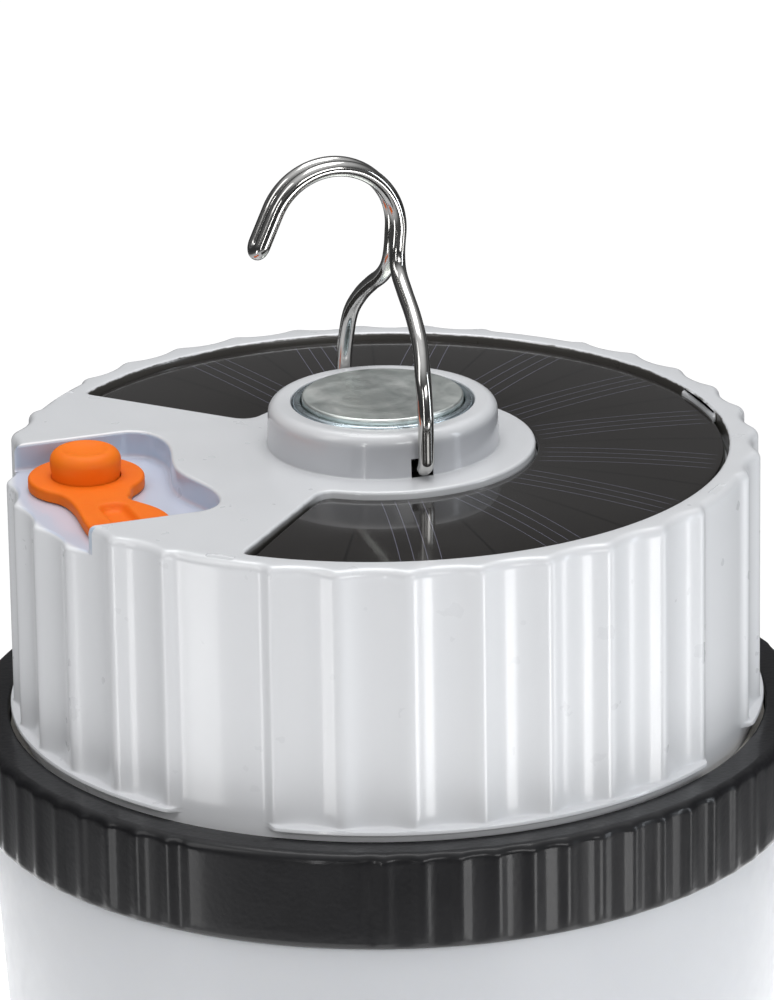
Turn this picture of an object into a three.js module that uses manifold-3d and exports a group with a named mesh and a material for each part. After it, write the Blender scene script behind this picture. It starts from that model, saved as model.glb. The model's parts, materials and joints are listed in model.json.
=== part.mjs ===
// Solar lantern. A fluted housing carries a C-shaped solar panel, a pot magnet
// and a folding wire hook. A black collar below it holds the milky diffuser.
// Millimetres, +Z up, origin in the middle of the flat face it stands on.
// The power button and the charging port are on the -X side.

import * as THREE from 'three';
import Module from 'manifold-3d';
import { mergeVertices } from 'three/addons/utils/BufferGeometryUtils.js';

const wasm = await Module();
wasm.setup();

// ---------------------------------------------------------------- dimensions

const TOP = 105; // height of the housing's top face
const GAP = 0.3; // clearance between neighbouring pieces

const RIDGE_RADIUS = 54.5;
const FLUTE_DEPTH = 1.6;
const FLUTES_PER_SIDE = 7;
const PANEL_ANGLE = 16.5; // degrees taken by each smooth panel of the wall
const PANEL_RADIUS = 53.3;
const EDGE_FILLET = 1.5;
const CAVITY_RADIUS = 50.8;
const CEILING = TOP - 6.2; // underside of the top wall
const FLANGE_RADIUS = 54.8;
const FLANGE_TOP = TOP - 37.9;
const FLANGE_BOTTOM = TOP - 38.6;
const SPIGOT_RADIUS = 53.3;
const SPIGOT_BOTTOM = TOP - 43.1;

const BOSS_RADIUS = 16.7;
const BOSS_HEIGHT = 6.4;
const BOSS_FILLET = 1.7;
const MAGNET_RADIUS = 12.9;
const MAGNET_FLOOR = TOP - 1.5;
const MAGNET_WALL = 1.2;
const DISC_RADIUS = 11.4;
const DISC_TOP = TOP + 7.2;

const RECESS_OUTER = 49.6;
const RECESS_INNER = 21.9;
const RECESS_FLOOR = TOP - 3.3;
const RECESS_HALF_ANGLE = 132.5;
const TAB_HALF_ANGLE = 7; // of the tab that holds the panel at the +X side
const BOARD_THICKNESS = 1.6;
const RESIN_TOP = TOP - 0.8;

const POCKET_FLOOR = TOP - 4;
const POCKET_HALF_WIDTH = 18;
const POCKET_BULGE = -29.2;
const POCKET_WAIST = -31.3;
const LEAD_HOLE = new THREE.Vector2(-11, 26.5); // where the panel's leads go inside

const SEAL_X = -42.3;
const SEAL_BOTTOM = POCKET_FLOOR + 0.15;
const SEAL_TOP = TOP - 2.1;
const SEAL_RADIUS = 8.35;
const BUTTON_Y = 7.8;
const BUTTON_RADIUS = 5.2;
const BUTTON_TOP = TOP + 1.9;
const STEM_RADIUS = 2.5;
const STEM_CLEARANCE = 0.4;
const PORT_Y = -11.5;
const PORT_WIDTH = 4;
const PORT_LENGTH = 9.8;
const HINGE_Y = -2.9; // the line where the port cover folds

const WIRE_RADIUS = 1.16;
const WIRE_SPACING = 1.22; // half the distance between the two wires of the stem
const HOOK_PIVOT = TOP + 1.5;
const HOOK_LEAN = 4.5; // degrees from upright towards +X
const HOOK_HOLE = 2.66;
const LEG_Y = 18;
const HOOK_RADIUS = 9.6;
const HOOK_SWEEP = 160;
const STEM_TOP = 30.5; // above the pivot, where the hook's arc begins
const TIP_LENGTH = 5;

const COLLAR_TOP = TOP - 39.1;
const COLLAR_BOTTOM = TOP - 53.3;
const COLLAR_RADIUS = 60.5;
const COLLAR_BORE = 55.1;
const WEB_TOP = TOP - 43.4;
const WEB_BOTTOM = TOP - 45.9;
const WEB_BORE = 38;
const SKIRT_BORE = 58.3;
const SNAP_Z = TOP - 49.5; // height of the snap bead that holds the diffuser

const DIFFUSER_NECK = 57.9;
const DIFFUSER_NECK_TOP = TOP - 47;
const DIFFUSER_WALL = 1.8;
const DIFFUSER_WAIST = 56.4; // radius where the bottom rounding starts
const DIFFUSER_CORNER = 17;
const DIFFUSER_FOOT = DIFFUSER_WAIST - DIFFUSER_CORNER;

const CELL_RADIUS = 9.2;
const CELL_LENGTH = 65;
const CELL_PITCH = 19;
const CELL_Z = TOP - 31;
const TRAY_RADIUS = 44;
const TRAY_THICKNESS = 2;

const SCREW_CIRCLE = 46.6;
const POST_RADIUS = 3.4;
const TRAY_SCREW_Y = 41.2;

const CIRCUIT_TOP = TOP - 10.5;
const CIRCUIT_BOTTOM = TOP - 12.1;
const CIRCUIT_SCREW = new THREE.Vector2(-26, 15.5);

const LED_PLATE_TOP = TOP - 46.2;
const LED_PLATE_BOTTOM = TOP - 47.4;
const LED_PLATE_RADIUS = 53.5;
const LED_BOARD_BOTTOM = TOP - 48.7;
const LED_BOARD_RADIUS = 33;
const LED_COUNT = 8;
const LED_CIRCLE = 24;
const LED_LEAD_X = -34.9;

// ------------------------------------------------------------------ geometry

const radians = THREE.MathUtils.degToRad;

// Keeps the positions only, merges equal corners and drops empty triangles.
function weld(geometry) {
  const bare = geometry.clone();
  bare.deleteAttribute('normal');
  bare.deleteAttribute('uv');
  const merged = mergeVertices(bare, 1e-4);
  const corners = merged.index.array;
  const kept = [];
  for (let i = 0; i < corners.length; i += 3) {
    const [a, b, c] = corners.slice(i, i + 3);
    if (a !== b && b !== c && c !== a) kept.push(a, b, c);
  }
  return { positions: merged.attributes.position.array, triangles: kept };
}

function signedVolume(positions, triangles) {
  const corner = (i) => new THREE.Vector3().fromArray(positions, 3 * i);
  let total = 0;
  for (let i = 0; i < triangles.length; i += 3) {
    const [a, b, c] = triangles.slice(i, i + 3).map(corner);
    total += a.dot(b.cross(c)) / 6;
  }
  return total;
}

// A closed three.js geometry as a solid with its faces pointing out.
function solid(geometry) {
  const { positions, triangles } = weld(geometry);
  if (signedVolume(positions, triangles) < 0) triangles.reverse();
  const mesh = new wasm.Mesh({
    numProp: 3,
    vertProperties: new Float32Array(positions),
    triVerts: new Uint32Array(triangles),
  });
  return new wasm.Manifold(mesh);
}

function geometryOf(shape) {
  const mesh = shape.getMesh();
  const geometry = new THREE.BufferGeometry();
  geometry.setAttribute('position', new THREE.BufferAttribute(mesh.vertProperties, 3));
  geometry.setIndex(new THREE.BufferAttribute(mesh.triVerts, 1));
  geometry.computeVertexNormals();
  return geometry;
}

const joined = (shapes) => shapes.reduce((whole, shape) => whole.add(shape));
const without = (shape, tools) => tools.reduce((rest, tool) => rest.subtract(tool), shape);

// A profile of [radius, height] points turned round the Z axis.
function revolve(profile, segments) {
  const points = profile.map(([radius, height]) => new THREE.Vector2(radius, height));
  return solid(new THREE.LatheGeometry(points, segments).rotateX(Math.PI / 2));
}

// The same for a profile that doesn't reach the axis: it closes on itself.
const revolveRing = (profile, segments) => revolve([...profile, profile[0]], segments);

function extrude(shape, bottom, top, curveSegments = 12) {
  const options = { depth: top - bottom, bevelEnabled: false, curveSegments };
  return solid(new THREE.ExtrudeGeometry(shape, options).translate(0, 0, bottom));
}

function box(centre, size) {
  return solid(new THREE.BoxGeometry(...size).translate(...centre));
}

function cylinder(x, y, radius, bottom, top, segments = 16) {
  const geometry = new THREE.CylinderGeometry(radius, radius, top - bottom, segments);
  return solid(geometry.rotateX(Math.PI / 2).translate(x, y, (top + bottom) / 2));
}

// Points of an arc in a profile, from one angle to another in degrees.
function arc(radius, height, size, from, to, steps) {
  return Array.from({ length: steps + 1 }, (_, i) => {
    const angle = radians(from + ((to - from) * i) / steps);
    return [radius + size * Math.cos(angle), height + size * Math.sin(angle)];
  });
}

function tube(path, radius, sides, steps) {
  const section = new THREE.Shape().absarc(0, 0, radius, 0, 2 * Math.PI);
  const options = { steps, curveSegments: sides / 2, extrudePath: path, bevelEnabled: false };
  return solid(new THREE.ExtrudeGeometry(section, options));
}

const polar = (radius, degrees) => new THREE.Vector2(
  radius * Math.cos(radians(degrees)),
  radius * Math.sin(radians(degrees)),
);

function roundedRectangle(x, y, width, length, corner) {
  const [left, right] = [x - width / 2, x + width / 2];
  const [front, back] = [y - length / 2, y + length / 2];
  const shape = new THREE.Shape();
  shape.absarc(right - corner, back - corner, corner, 0, Math.PI / 2);
  shape.absarc(left + corner, back - corner, corner, Math.PI / 2, Math.PI);
  shape.absarc(left + corner, front + corner, corner, Math.PI, 1.5 * Math.PI);
  shape.absarc(right - corner, front + corner, corner, 1.5 * Math.PI, 2 * Math.PI);
  return shape;
}

// ------------------------------------------------------------------- housing

// The wall's outline: seven flutes on each side, and a smooth panel at each corner.
function flutedOutline() {
  const fluteAngle = (90 - PANEL_ANGLE) / FLUTES_PER_SIDE;
  const pointsPerFlute = 4;
  const points = [];
  for (let side = 0; side < 4; side += 1) {
    const start = 45 + 90 * side;
    for (let i = -2; i <= 2; i += 1) {
      points.push(polar(PANEL_RADIUS, start + (i * PANEL_ANGLE) / 4));
    }
    for (let i = 0; i <= FLUTES_PER_SIDE * pointsPerFlute; i += 1) {
      const across = (2 * (i % pointsPerFlute)) / pointsPerFlute - 1;
      const radius = RIDGE_RADIUS - FLUTE_DEPTH * (1 - across * across);
      const angle = start + PANEL_ANGLE / 2 + 0.05 + (i / pointsPerFlute) * (fluteAngle - 0.015);
      points.push(polar(radius, angle));
    }
  }
  return new THREE.Shape(points);
}

function flutedWall() {
  const shoulder = TOP - EDGE_FILLET;
  const envelope = revolve([
    [0, FLANGE_BOTTOM],
    [RIDGE_RADIUS + 0.1, FLANGE_BOTTOM],
    ...arc(RIDGE_RADIUS + 0.1 - EDGE_FILLET, shoulder, EDGE_FILLET, 0, 90, 2),
    [0, TOP],
  ], 48);
  return extrude(flutedOutline(), FLANGE_BOTTOM, TOP).intersect(envelope);
}

// A flange under the flutes, broken at the four smooth panels.
function flange() {
  const ring = revolve([
    [0, FLANGE_BOTTOM],
    [FLANGE_RADIUS, FLANGE_BOTTOM],
    [FLANGE_RADIUS, FLANGE_TOP - 0.25],
    [FLANGE_RADIUS - 0.25, FLANGE_TOP],
    [0, FLANGE_TOP],
  ], 48);
  const width = 2 * FLANGE_RADIUS * Math.sin(radians(PANEL_ANGLE / 2));
  const breaks = [45, 135, 225, 315].map((degrees) => {
    const geometry = new THREE.BoxGeometry(6, width, 4);
    geometry.translate(PANEL_RADIUS + 3 - 0.2, 0, FLANGE_TOP);
    return solid(geometry.rotateZ(radians(degrees)));
  });
  return without(ring, breaks);
}

// An arc-shaped opening from -halfAngle to +halfAngle with rounded corners.
function ringSector(inner, outer, halfAngle, corner) {
  const turnIn = THREE.MathUtils.radToDeg(corner / inner);
  const turnOut = THREE.MathUtils.radToDeg(corner / outer);
  const shape = new THREE.Shape();
  const curveTo = (control, end) => shape.quadraticCurveTo(control.x, control.y, end.x, end.y);
  shape.absarc(0, 0, outer, radians(turnOut - halfAngle), radians(halfAngle - turnOut));
  curveTo(polar(outer, halfAngle), polar(outer - corner, halfAngle));
  shape.lineTo(...polar(inner + corner, halfAngle));
  curveTo(polar(inner, halfAngle), polar(inner, halfAngle - turnIn));
  shape.absarc(0, 0, inner, radians(halfAngle - turnIn), radians(turnIn - halfAngle), true);
  curveTo(polar(inner, -halfAngle), polar(inner + corner, -halfAngle));
  shape.lineTo(...polar(outer - corner, -halfAngle));
  curveTo(polar(outer, -halfAngle), polar(outer, turnOut - halfAngle));
  return shape;
}

// The pocket for the seal, open through the rim, with a wavy inner wall.
function pocketOutline() {
  const rim = -FLANGE_RADIUS - 4;
  const bulgeY = POCKET_HALF_WIDTH - 6.5;
  const shape = new THREE.Shape();
  shape.moveTo(rim, -POCKET_HALF_WIDTH);
  shape.lineTo(POCKET_BULGE - 5, -POCKET_HALF_WIDTH);
  shape.bezierCurveTo(
    POCKET_BULGE - 1.5, -POCKET_HALF_WIDTH, POCKET_BULGE, -POCKET_HALF_WIDTH + 3,
    POCKET_BULGE, -bulgeY,
  );
  shape.bezierCurveTo(POCKET_BULGE, -bulgeY + 4, POCKET_WAIST, -4, POCKET_WAIST, 0);
  shape.bezierCurveTo(POCKET_WAIST, 4, POCKET_BULGE, bulgeY - 4, POCKET_BULGE, bulgeY);
  shape.bezierCurveTo(
    POCKET_BULGE, POCKET_HALF_WIDTH - 3, POCKET_BULGE - 1.5, POCKET_HALF_WIDTH,
    POCKET_BULGE - 5, POCKET_HALF_WIDTH,
  );
  shape.lineTo(rim, POCKET_HALF_WIDTH);
  return shape;
}

// A short tab on the recess's outer wall, over the edge of the panel's board.
function panelTab() {
  const shape = new THREE.Shape();
  const half = radians(TAB_HALF_ANGLE);
  shape.absarc(0, 0, RECESS_OUTER + 0.3, -half, half);
  shape.absarc(0, 0, RECESS_OUTER - 0.6, half, -half, true);
  return extrude(shape, RESIN_TOP - 0.7, TOP - 0.25, 8);
}

function magnetBoss() {
  return revolve([
    [0, TOP - 1],
    [BOSS_RADIUS, TOP - 1],
    [BOSS_RADIUS, TOP],
    ...arc(BOSS_RADIUS - 0.2 - BOSS_FILLET, TOP + BOSS_HEIGHT - BOSS_FILLET, BOSS_FILLET, 0, 90, 3),
    [0, TOP + BOSS_HEIGHT],
  ], 36);
}

// Where the four long screws of the collar stand.
const screwPlaces = [45, 135, 225, 315].map((degrees) => polar(SCREW_CIRCLE, degrees));
const circuitScrewPlaces = [-1, 1].map((side) => (
  new THREE.Vector2(CIRCUIT_SCREW.x, side * CIRCUIT_SCREW.y)
));

function upperHousing() {
  const shell = joined([
    flutedWall(),
    flange(),
    cylinder(0, 0, SPIGOT_RADIUS, SPIGOT_BOTTOM, FLANGE_TOP, 48),
    magnetBoss(),
  ]);
  const cavity = cylinder(0, 0, CAVITY_RADIUS, SPIGOT_BOTTOM - 5, CEILING, 48);
  const magnetWell = cylinder(0, 0, MAGNET_RADIUS + GAP, MAGNET_FLOOR - GAP, TOP + 20, 32);
  const recess = extrude(
    ringSector(RECESS_INNER, RECESS_OUTER, RECESS_HALF_ANGLE, 2.2), RECESS_FLOOR, TOP + 1, 20,
  );
  const pocket = extrude(pocketOutline(), POCKET_FLOOR, TOP + 1, 6);
  const footHoles = [-1, 1].map((side) => (
    box([0, side * (BOSS_RADIUS - 0.4), HOOK_PIVOT], [HOOK_HOLE, 4.4, HOOK_HOLE])
  ));
  const stemHole = cylinder(SEAL_X, BUTTON_Y, STEM_RADIUS + STEM_CLEARANCE, CEILING - 2, TOP);
  const portOutline = roundedRectangle(SEAL_X, PORT_Y, PORT_WIDTH, PORT_LENGTH, 1.6);
  const portHole = extrude(portOutline, CEILING - 2, TOP, 4);
  const leadHole = cylinder(LEAD_HOLE.x, LEAD_HOLE.y, 2.6, CEILING - 2, TOP);
  const hollow = without(shell, [
    cavity, magnetWell, recess, pocket, ...footHoles, stemHole, portHole, leadHole,
  ]);

  const posts = screwPlaces.map(({ x, y }) => (
    cylinder(x, y, POST_RADIUS, SPIGOT_BOTTOM, CEILING + 1, 12)
  ));
  const circuitPosts = circuitScrewPlaces.map(({ x, y }) => (
    cylinder(x, y, 2.4, CIRCUIT_TOP + 0.1, CEILING + 0.5, 12)
  ));
  const pilots = screwPlaces.map(({ x, y }) => cylinder(x, y, 1.6, SPIGOT_BOTTOM - 1, TOP - 24, 8));
  const circuitPilots = circuitScrewPlaces.map(({ x, y }) => (
    cylinder(x, y, 1.25, CIRCUIT_TOP - 1, CEILING - 0.3, 8)
  ));
  const whole = joined([hollow, panelTab(), ...posts, ...circuitPosts]);
  return without(whole, [...pilots, ...circuitPilots]);
}

// --------------------------------------------------------- panel, magnet, hook

function solarBoard() {
  const outline = ringSector(RECESS_INNER + 0.6, RECESS_OUTER - 0.5, RECESS_HALF_ANGLE - 1, 2);
  const bottom = RECESS_FLOOR + 0.1;
  return extrude(outline, bottom, bottom + BOARD_THICKNESS, 14);
}

function solarCells() {
  const outline = ringSector(RECESS_INNER + 0.9, RECESS_OUTER - 0.8, RECESS_HALF_ANGLE - 1.5, 2);
  return extrude(outline, RECESS_FLOOR + 0.15 + BOARD_THICKNESS, RESIN_TOP, 14);
}

function magnetCup() {
  const rim = TOP + BOSS_HEIGHT + 0.1;
  const inner = MAGNET_RADIUS - MAGNET_WALL;
  return revolve([
    [0, MAGNET_FLOOR],
    [MAGNET_RADIUS, MAGNET_FLOOR],
    [MAGNET_RADIUS, rim - 0.4],
    [MAGNET_RADIUS - 0.4, rim],
    [inner + 0.2, rim],
    [inner, rim - 0.2],
    [inner, MAGNET_FLOOR + MAGNET_WALL],
    [0, MAGNET_FLOOR + MAGNET_WALL],
  ], 32);
}

function magnetDisc() {
  const bottom = MAGNET_FLOOR + MAGNET_WALL + 0.1;
  return revolve([
    [0, bottom],
    [DISC_RADIUS, bottom],
    [DISC_RADIUS, DISC_TOP - 0.3],
    [DISC_RADIUS - 0.3, DISC_TOP],
    [0, DISC_TOP],
  ], 32);
}

// An arc in space: centre + radius * (cos a * across + sin a * along).
class SpaceArc extends THREE.Curve {
  constructor(centre, across, along, radius, sweep) {
    super();
    Object.assign(this, { centre, across, along, radius, sweep });
  }

  getPoint(t, target = new THREE.Vector3()) {
    const angle = t * this.sweep;
    return target.copy(this.centre)
      .addScaledVector(this.across, this.radius * Math.cos(angle))
      .addScaledVector(this.along, this.radius * Math.sin(angle));
  }
}

const vector = (x, y, z) => new THREE.Vector3(x, y, z);

// A curve run backwards and mirrored in the plane y = 0.
class MirroredCurve extends THREE.Curve {
  constructor(source) {
    super();
    this.source = source;
  }

  getPoint(t, target = new THREE.Vector3()) {
    this.source.getPointAt(1 - t, target);
    target.y = -target.y;
    return target;
  }
}

// The two legs are bent a little differently. Both are written on the +Y side.
const REAR_LEG = [
  [0.05, 17.8, 8.5], [0, 16.3, 13], [0.1, 13, 16.6], [0.2, 9, 19.5], [0.3, 5, 22], [0.1, 2.2, 24.5],
];
const FRONT_LEG = [
  [-0.55, 17.8, 8.5], [-0.65, 16.3, 13], [-0.15, 13, 16.8], [0.1, 9, 19.8], [0.1, 5, 22.3], [0, 2.2, 24.6],
];

// Half of the wire on the +Y side, from the foot to the end of the hook's tip.
function hookHalf(legPoints) {
  const bend = 1.3;
  const footEnd = vector(0, BOSS_RADIUS - 2.2, 0);
  const footStart = vector(0, LEG_Y - bend, 0);
  const leg = new THREE.CatmullRomCurve3([
    vector(0, LEG_Y, bend),
    ...legPoints.map((point) => vector(...point)),
    vector(0, WIRE_SPACING, 27),
    vector(0, WIRE_SPACING, STEM_TOP),
  ]);
  const sweep = radians(HOOK_SWEEP);
  const arcCentre = vector(-HOOK_RADIUS, WIRE_SPACING, STEM_TOP);
  const hookArc = new SpaceArc(arcCentre, vector(1, 0, 0), vector(0, 0, 1), HOOK_RADIUS, sweep);
  const heading = vector(-Math.sin(sweep), 0, Math.cos(sweep));
  const arcEnd = hookArc.getPoint(1);
  const tip = arcEnd.clone().addScaledVector(heading, TIP_LENGTH);
  const bendCentre = vector(0, LEG_Y - bend, bend);
  return [
    new THREE.LineCurve3(footEnd, footStart),
    new SpaceArc(bendCentre, vector(0, 0, -1), vector(0, 1, 0), bend, Math.PI / 2),
    leg,
    hookArc,
    new THREE.LineCurve3(arcEnd, tip),
  ];
}

// One wire, from the foot in one hole to the foot in the other: up the leg,
// into the stem, over the hook's arc, round the tip and back beside itself.
function hookWire() {
  const rear = hookHalf(REAR_LEG);
  const tipLine = rear[rear.length - 1];
  const tip = tipLine.getPoint(1);
  const heading = tipLine.getTangent(1);
  const turn = new SpaceArc(
    vector(tip.x, 0, tip.z), vector(0, 1, 0), heading, WIRE_SPACING, Math.PI,
  );
  const front = hookHalf(FRONT_LEG).reverse().map((curve) => new MirroredCurve(curve));
  const wire = new THREE.CurvePath();
  [...rear, turn, ...front].forEach((curve) => wire.add(curve));
  return wire;
}

// ------------------------------------------------------------- seal and button

// The outline of the whole silicone seal: a disc, a neck and a longer lobe.
function sealOutline() {
  const left = SEAL_X - 6;
  const right = SEAL_X + 6;
  const neck = SEAL_X - 5.25;
  const shape = new THREE.Shape();
  shape.absarc(SEAL_X, BUTTON_Y, SEAL_RADIUS, radians(-52), radians(218));
  shape.bezierCurveTo(neck - 0.1, 1.1, neck, -1, neck, HINGE_Y);
  shape.bezierCurveTo(neck, -6, left, -9, left, -12.7);
  shape.bezierCurveTo(left, -16.5, SEAL_X - 3.8, -17.6, SEAL_X, -17.6);
  shape.bezierCurveTo(SEAL_X + 3.8, -17.6, right, -16.5, right, -12.7);
  shape.bezierCurveTo(right, -9, SEAL_X + 4.6, -7.2, SEAL_X + 3.1, -4.4);
  shape.bezierCurveTo(SEAL_X + 2.7, -3.6, SEAL_X + 2.9, -2.8, SEAL_X + 3.5, -1.9);
  shape.bezierCurveTo(SEAL_X + 4, -1, SEAL_X + 4.5, 0.7, SEAL_X + 5.14, 1.22);
  return shape;
}

function sealBase() {
  const whole = extrude(sealOutline(), SEAL_BOTTOM, SEAL_TOP, 7);
  const bore = cylinder(SEAL_X, BUTTON_Y, BUTTON_RADIUS + 0.2, SEAL_BOTTOM - 1, SEAL_TOP + 1, 20);
  const coverSide = box([SEAL_X, HINGE_Y - 20 + GAP / 2, TOP], [30, 40, 20]);
  return without(whole, [bore, coverSide]);
}

function portCover() {
  const whole = extrude(sealOutline(), SEAL_BOTTOM, SEAL_TOP, 7);
  const baseSide = box([SEAL_X, HINGE_Y + 20 - GAP / 2, TOP], [30, 40, 20]);
  const groove = extrude(roundedRectangle(SEAL_X - 0.4, -10.3, 3.6, 10.6, 1.7), SEAL_TOP - 0.8, TOP, 5);
  const plug = extrude(
    roundedRectangle(SEAL_X, PORT_Y, PORT_WIDTH - 0.9, PORT_LENGTH - 1, 1.3),
    POCKET_FLOOR - 0.4, SEAL_BOTTOM + 0.2, 4,
  );
  return without(whole, [baseSide, groove]).add(plug);
}

function powerButton() {
  const rounding = 1.5;
  const shape = revolve([
    [0, CEILING + 0.3],
    [STEM_RADIUS, CEILING + 0.3],
    [STEM_RADIUS, POCKET_FLOOR + 0.75],
    [BUTTON_RADIUS, POCKET_FLOOR + 0.75],
    ...arc(BUTTON_RADIUS - rounding, BUTTON_TOP - rounding, rounding, 0, 90, 4),
    [0, BUTTON_TOP - 0.15],
  ], 20);
  return shape.translate([SEAL_X, BUTTON_Y, 0]);
}

// ------------------------------------------------------------ control circuit

function circuitBoard() {
  const halfWidth = 20;
  const radius = CAVITY_RADIUS - 1.2;
  const angle = Math.asin(halfWidth / radius);
  const outline = new THREE.Shape();
  outline.absarc(0, 0, radius, Math.PI - angle, Math.PI + angle);
  outline.lineTo(-21, -halfWidth);
  outline.lineTo(-21, halfWidth);
  const holes = circuitScrewPlaces.map(({ x, y }) => (
    cylinder(x, y, 1.5, CIRCUIT_BOTTOM - 1, CIRCUIT_TOP + 1, 12)
  ));
  return without(extrude(outline, CIRCUIT_BOTTOM, CIRCUIT_TOP), holes);
}

function usbSocket() {
  const bottom = CIRCUIT_TOP + 0.1;
  const top = POCKET_FLOOR - 0.7;
  const shell = extrude(roundedRectangle(SEAL_X, PORT_Y, 3.26, 8.94, 1.3), bottom, top, 4);
  const mouth = extrude(roundedRectangle(SEAL_X, PORT_Y, 2.66, 8.34, 1.1), bottom + 0.8, top + 1, 4);
  const tongue = box([SEAL_X, PORT_Y, (bottom + top - 0.6) / 2], [0.8, 6.7, top - 0.6 - bottom]);
  return shell.subtract(mouth).add(tongue);
}

const SWITCH_TOP = CIRCUIT_TOP + 3.4;

function switchBody() {
  const size = SWITCH_TOP - CIRCUIT_TOP - 0.1;
  const body = box([SEAL_X, BUTTON_Y, SWITCH_TOP - size / 2], [6, 6, size]);
  return body.subtract(cylinder(SEAL_X, BUTTON_Y, 2, SWITCH_TOP - 2.2, SWITCH_TOP + 1, 16));
}

const switchPlunger = () => cylinder(SEAL_X, BUTTON_Y, 1.7, SWITCH_TOP - 1.3, CEILING, 16);

// ------------------------------------------------------------------ batteries

// One cell, lying along Y: can, shoulder and the raised positive cap.
function batteryCell(x) {
  const half = CELL_LENGTH / 2;
  const shape = revolve([
    [0, -half],
    [CELL_RADIUS - 0.5, -half],
    [CELL_RADIUS, 0.5 - half],
    [CELL_RADIUS, half - 1.5],
    [CELL_RADIUS - 0.8, half - 0.7],
    [3.6, half - 0.7],
    [3.6, half],
    [0, half],
  ], 14);
  return shape.rotate([90, 0, 0]).translate([x, 0, CELL_Z]);
}

function cellLink(side) {
  const y = side * (CELL_LENGTH / 2 + 0.3);
  return box([0, y, CELL_Z], [2 * CELL_PITCH + 8, 0.3, 7]);
}

function batteryTray() {
  const bottom = WEB_TOP + 0.2;
  const cradleHeight = CELL_Z - 4 - bottom;
  const plate = cylinder(0, 0, TRAY_RADIUS, bottom, bottom + TRAY_THICKNESS, 36);
  const cradle = box([0, 0, bottom + cradleHeight / 2], [60, 50, cradleHeight]);
  const beds = [-1, 0, 1].map((place) => {
    const geometry = new THREE.CylinderGeometry(CELL_RADIUS + GAP, CELL_RADIUS + GAP, 80, 20);
    return solid(geometry.translate(place * CELL_PITCH, 0, CELL_Z));
  });
  const notches = screwPlaces.map(({ x, y }) => cylinder(x, y, POST_RADIUS + 0.6, bottom - 1, TOP));
  const leadSlot = box([LED_LEAD_X, 0, bottom], [4, 8, 8]);
  const screwHoles = [-1, 1].map((side) => (
    cylinder(0, side * TRAY_SCREW_Y, 1.25, bottom - 1, bottom + 6, 12)
  ));
  return without(plate.add(cradle), [...beds, ...notches, leadSlot, ...screwHoles]);
}

// ------------------------------------------------------------ light and collar

function collar() {
  const edge = 1.4;
  const ring = revolveRing([
    [WEB_BORE, WEB_TOP],
    [WEB_BORE, WEB_BOTTOM],
    [SKIRT_BORE, WEB_BOTTOM],
    [SKIRT_BORE, SNAP_Z + 0.9],
    [SKIRT_BORE + 0.6, SNAP_Z + 0.5],
    [SKIRT_BORE + 0.6, SNAP_Z - 0.5],
    [SKIRT_BORE, SNAP_Z - 0.9],
    [SKIRT_BORE, COLLAR_BOTTOM],
    [COLLAR_RADIUS - 0.6, COLLAR_BOTTOM],
    [COLLAR_RADIUS, COLLAR_BOTTOM + 0.6],
    ...arc(COLLAR_RADIUS - edge, COLLAR_TOP - edge, edge, 0, 90, 2),
    [COLLAR_BORE + 0.3, COLLAR_TOP],
    [COLLAR_BORE, COLLAR_TOP - 0.3],
    [COLLAR_BORE, WEB_TOP],
  ], 40);
  const holes = screwPlaces.map(({ x, y }) => cylinder(x, y, 1.9, WEB_BOTTOM - 1, WEB_TOP + 1, 12));
  const trayHoles = [-1, 1].map((side) => (
    cylinder(0, side * TRAY_SCREW_Y, 1.5, WEB_BOTTOM - 1, WEB_TOP + 1, 12)
  ));
  return without(ring, [...holes, ...trayHoles]);
}

function gasket() {
  const middle = (SPIGOT_RADIUS + COLLAR_BORE) / 2;
  return revolveRing(arc(middle, TOP - 41.2, 0.7, 0, 270, 3), 48);
}

function ledPlate() {
  const plate = cylinder(0, 0, LED_PLATE_RADIUS, LED_PLATE_BOTTOM, LED_PLATE_TOP, 36);
  const below = LED_PLATE_BOTTOM - 1;
  const above = LED_PLATE_TOP + 1;
  const holes = screwPlaces.map(({ x, y }) => cylinder(x, y, 1.9, below, above, 12));
  const headHoles = [-1, 1].map((side) => cylinder(0, side * TRAY_SCREW_Y, 3.2, below, above));
  const leadHole = box([LED_LEAD_X, 0, LED_PLATE_TOP], [3.2, 7, 6]);
  return without(plate, [...holes, ...headHoles, leadHole]);
}

const ledBoard = () => (
  cylinder(0, 0, LED_BOARD_RADIUS, LED_BOARD_BOTTOM, LED_PLATE_BOTTOM - 0.1, 32)
);

function led(place) {
  const size = 3.5;
  const geometry = new THREE.BoxGeometry(size, size, 1.2);
  geometry.translate(LED_CIRCLE, 0, LED_BOARD_BOTTOM - 0.7);
  return solid(geometry.rotateZ((2 * Math.PI * place) / LED_COUNT));
}

// The diffuser: a neck with a snap bead, a tapered wall and a rounded bottom.
function diffuser() {
  const neckInner = DIFFUSER_NECK - DIFFUSER_WALL;
  const innerCorner = DIFFUSER_CORNER - DIFFUSER_WALL;
  return revolve([
    [0, 0],
    [DIFFUSER_FOOT, 0],
    ...arc(DIFFUSER_FOOT, DIFFUSER_CORNER, DIFFUSER_CORNER, -90, 0, 5).slice(1),
    [DIFFUSER_NECK + 0.5, COLLAR_BOTTOM - 3],
    [DIFFUSER_NECK + 0.5, COLLAR_BOTTOM - 0.4],
    [DIFFUSER_NECK, COLLAR_BOTTOM - 0.4],
    [DIFFUSER_NECK, SNAP_Z - 0.7],
    [DIFFUSER_NECK + 0.6, SNAP_Z],
    [DIFFUSER_NECK, SNAP_Z + 0.7],
    [DIFFUSER_NECK, DIFFUSER_NECK_TOP],
    [neckInner, DIFFUSER_NECK_TOP],
    [neckInner, COLLAR_BOTTOM - 3],
    ...arc(DIFFUSER_FOOT, DIFFUSER_CORNER, innerCorner, 0, -90, 4),
    [0, DIFFUSER_WALL],
  ], 40);
}

// ---------------------------------------------------------- screws and leads

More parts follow.
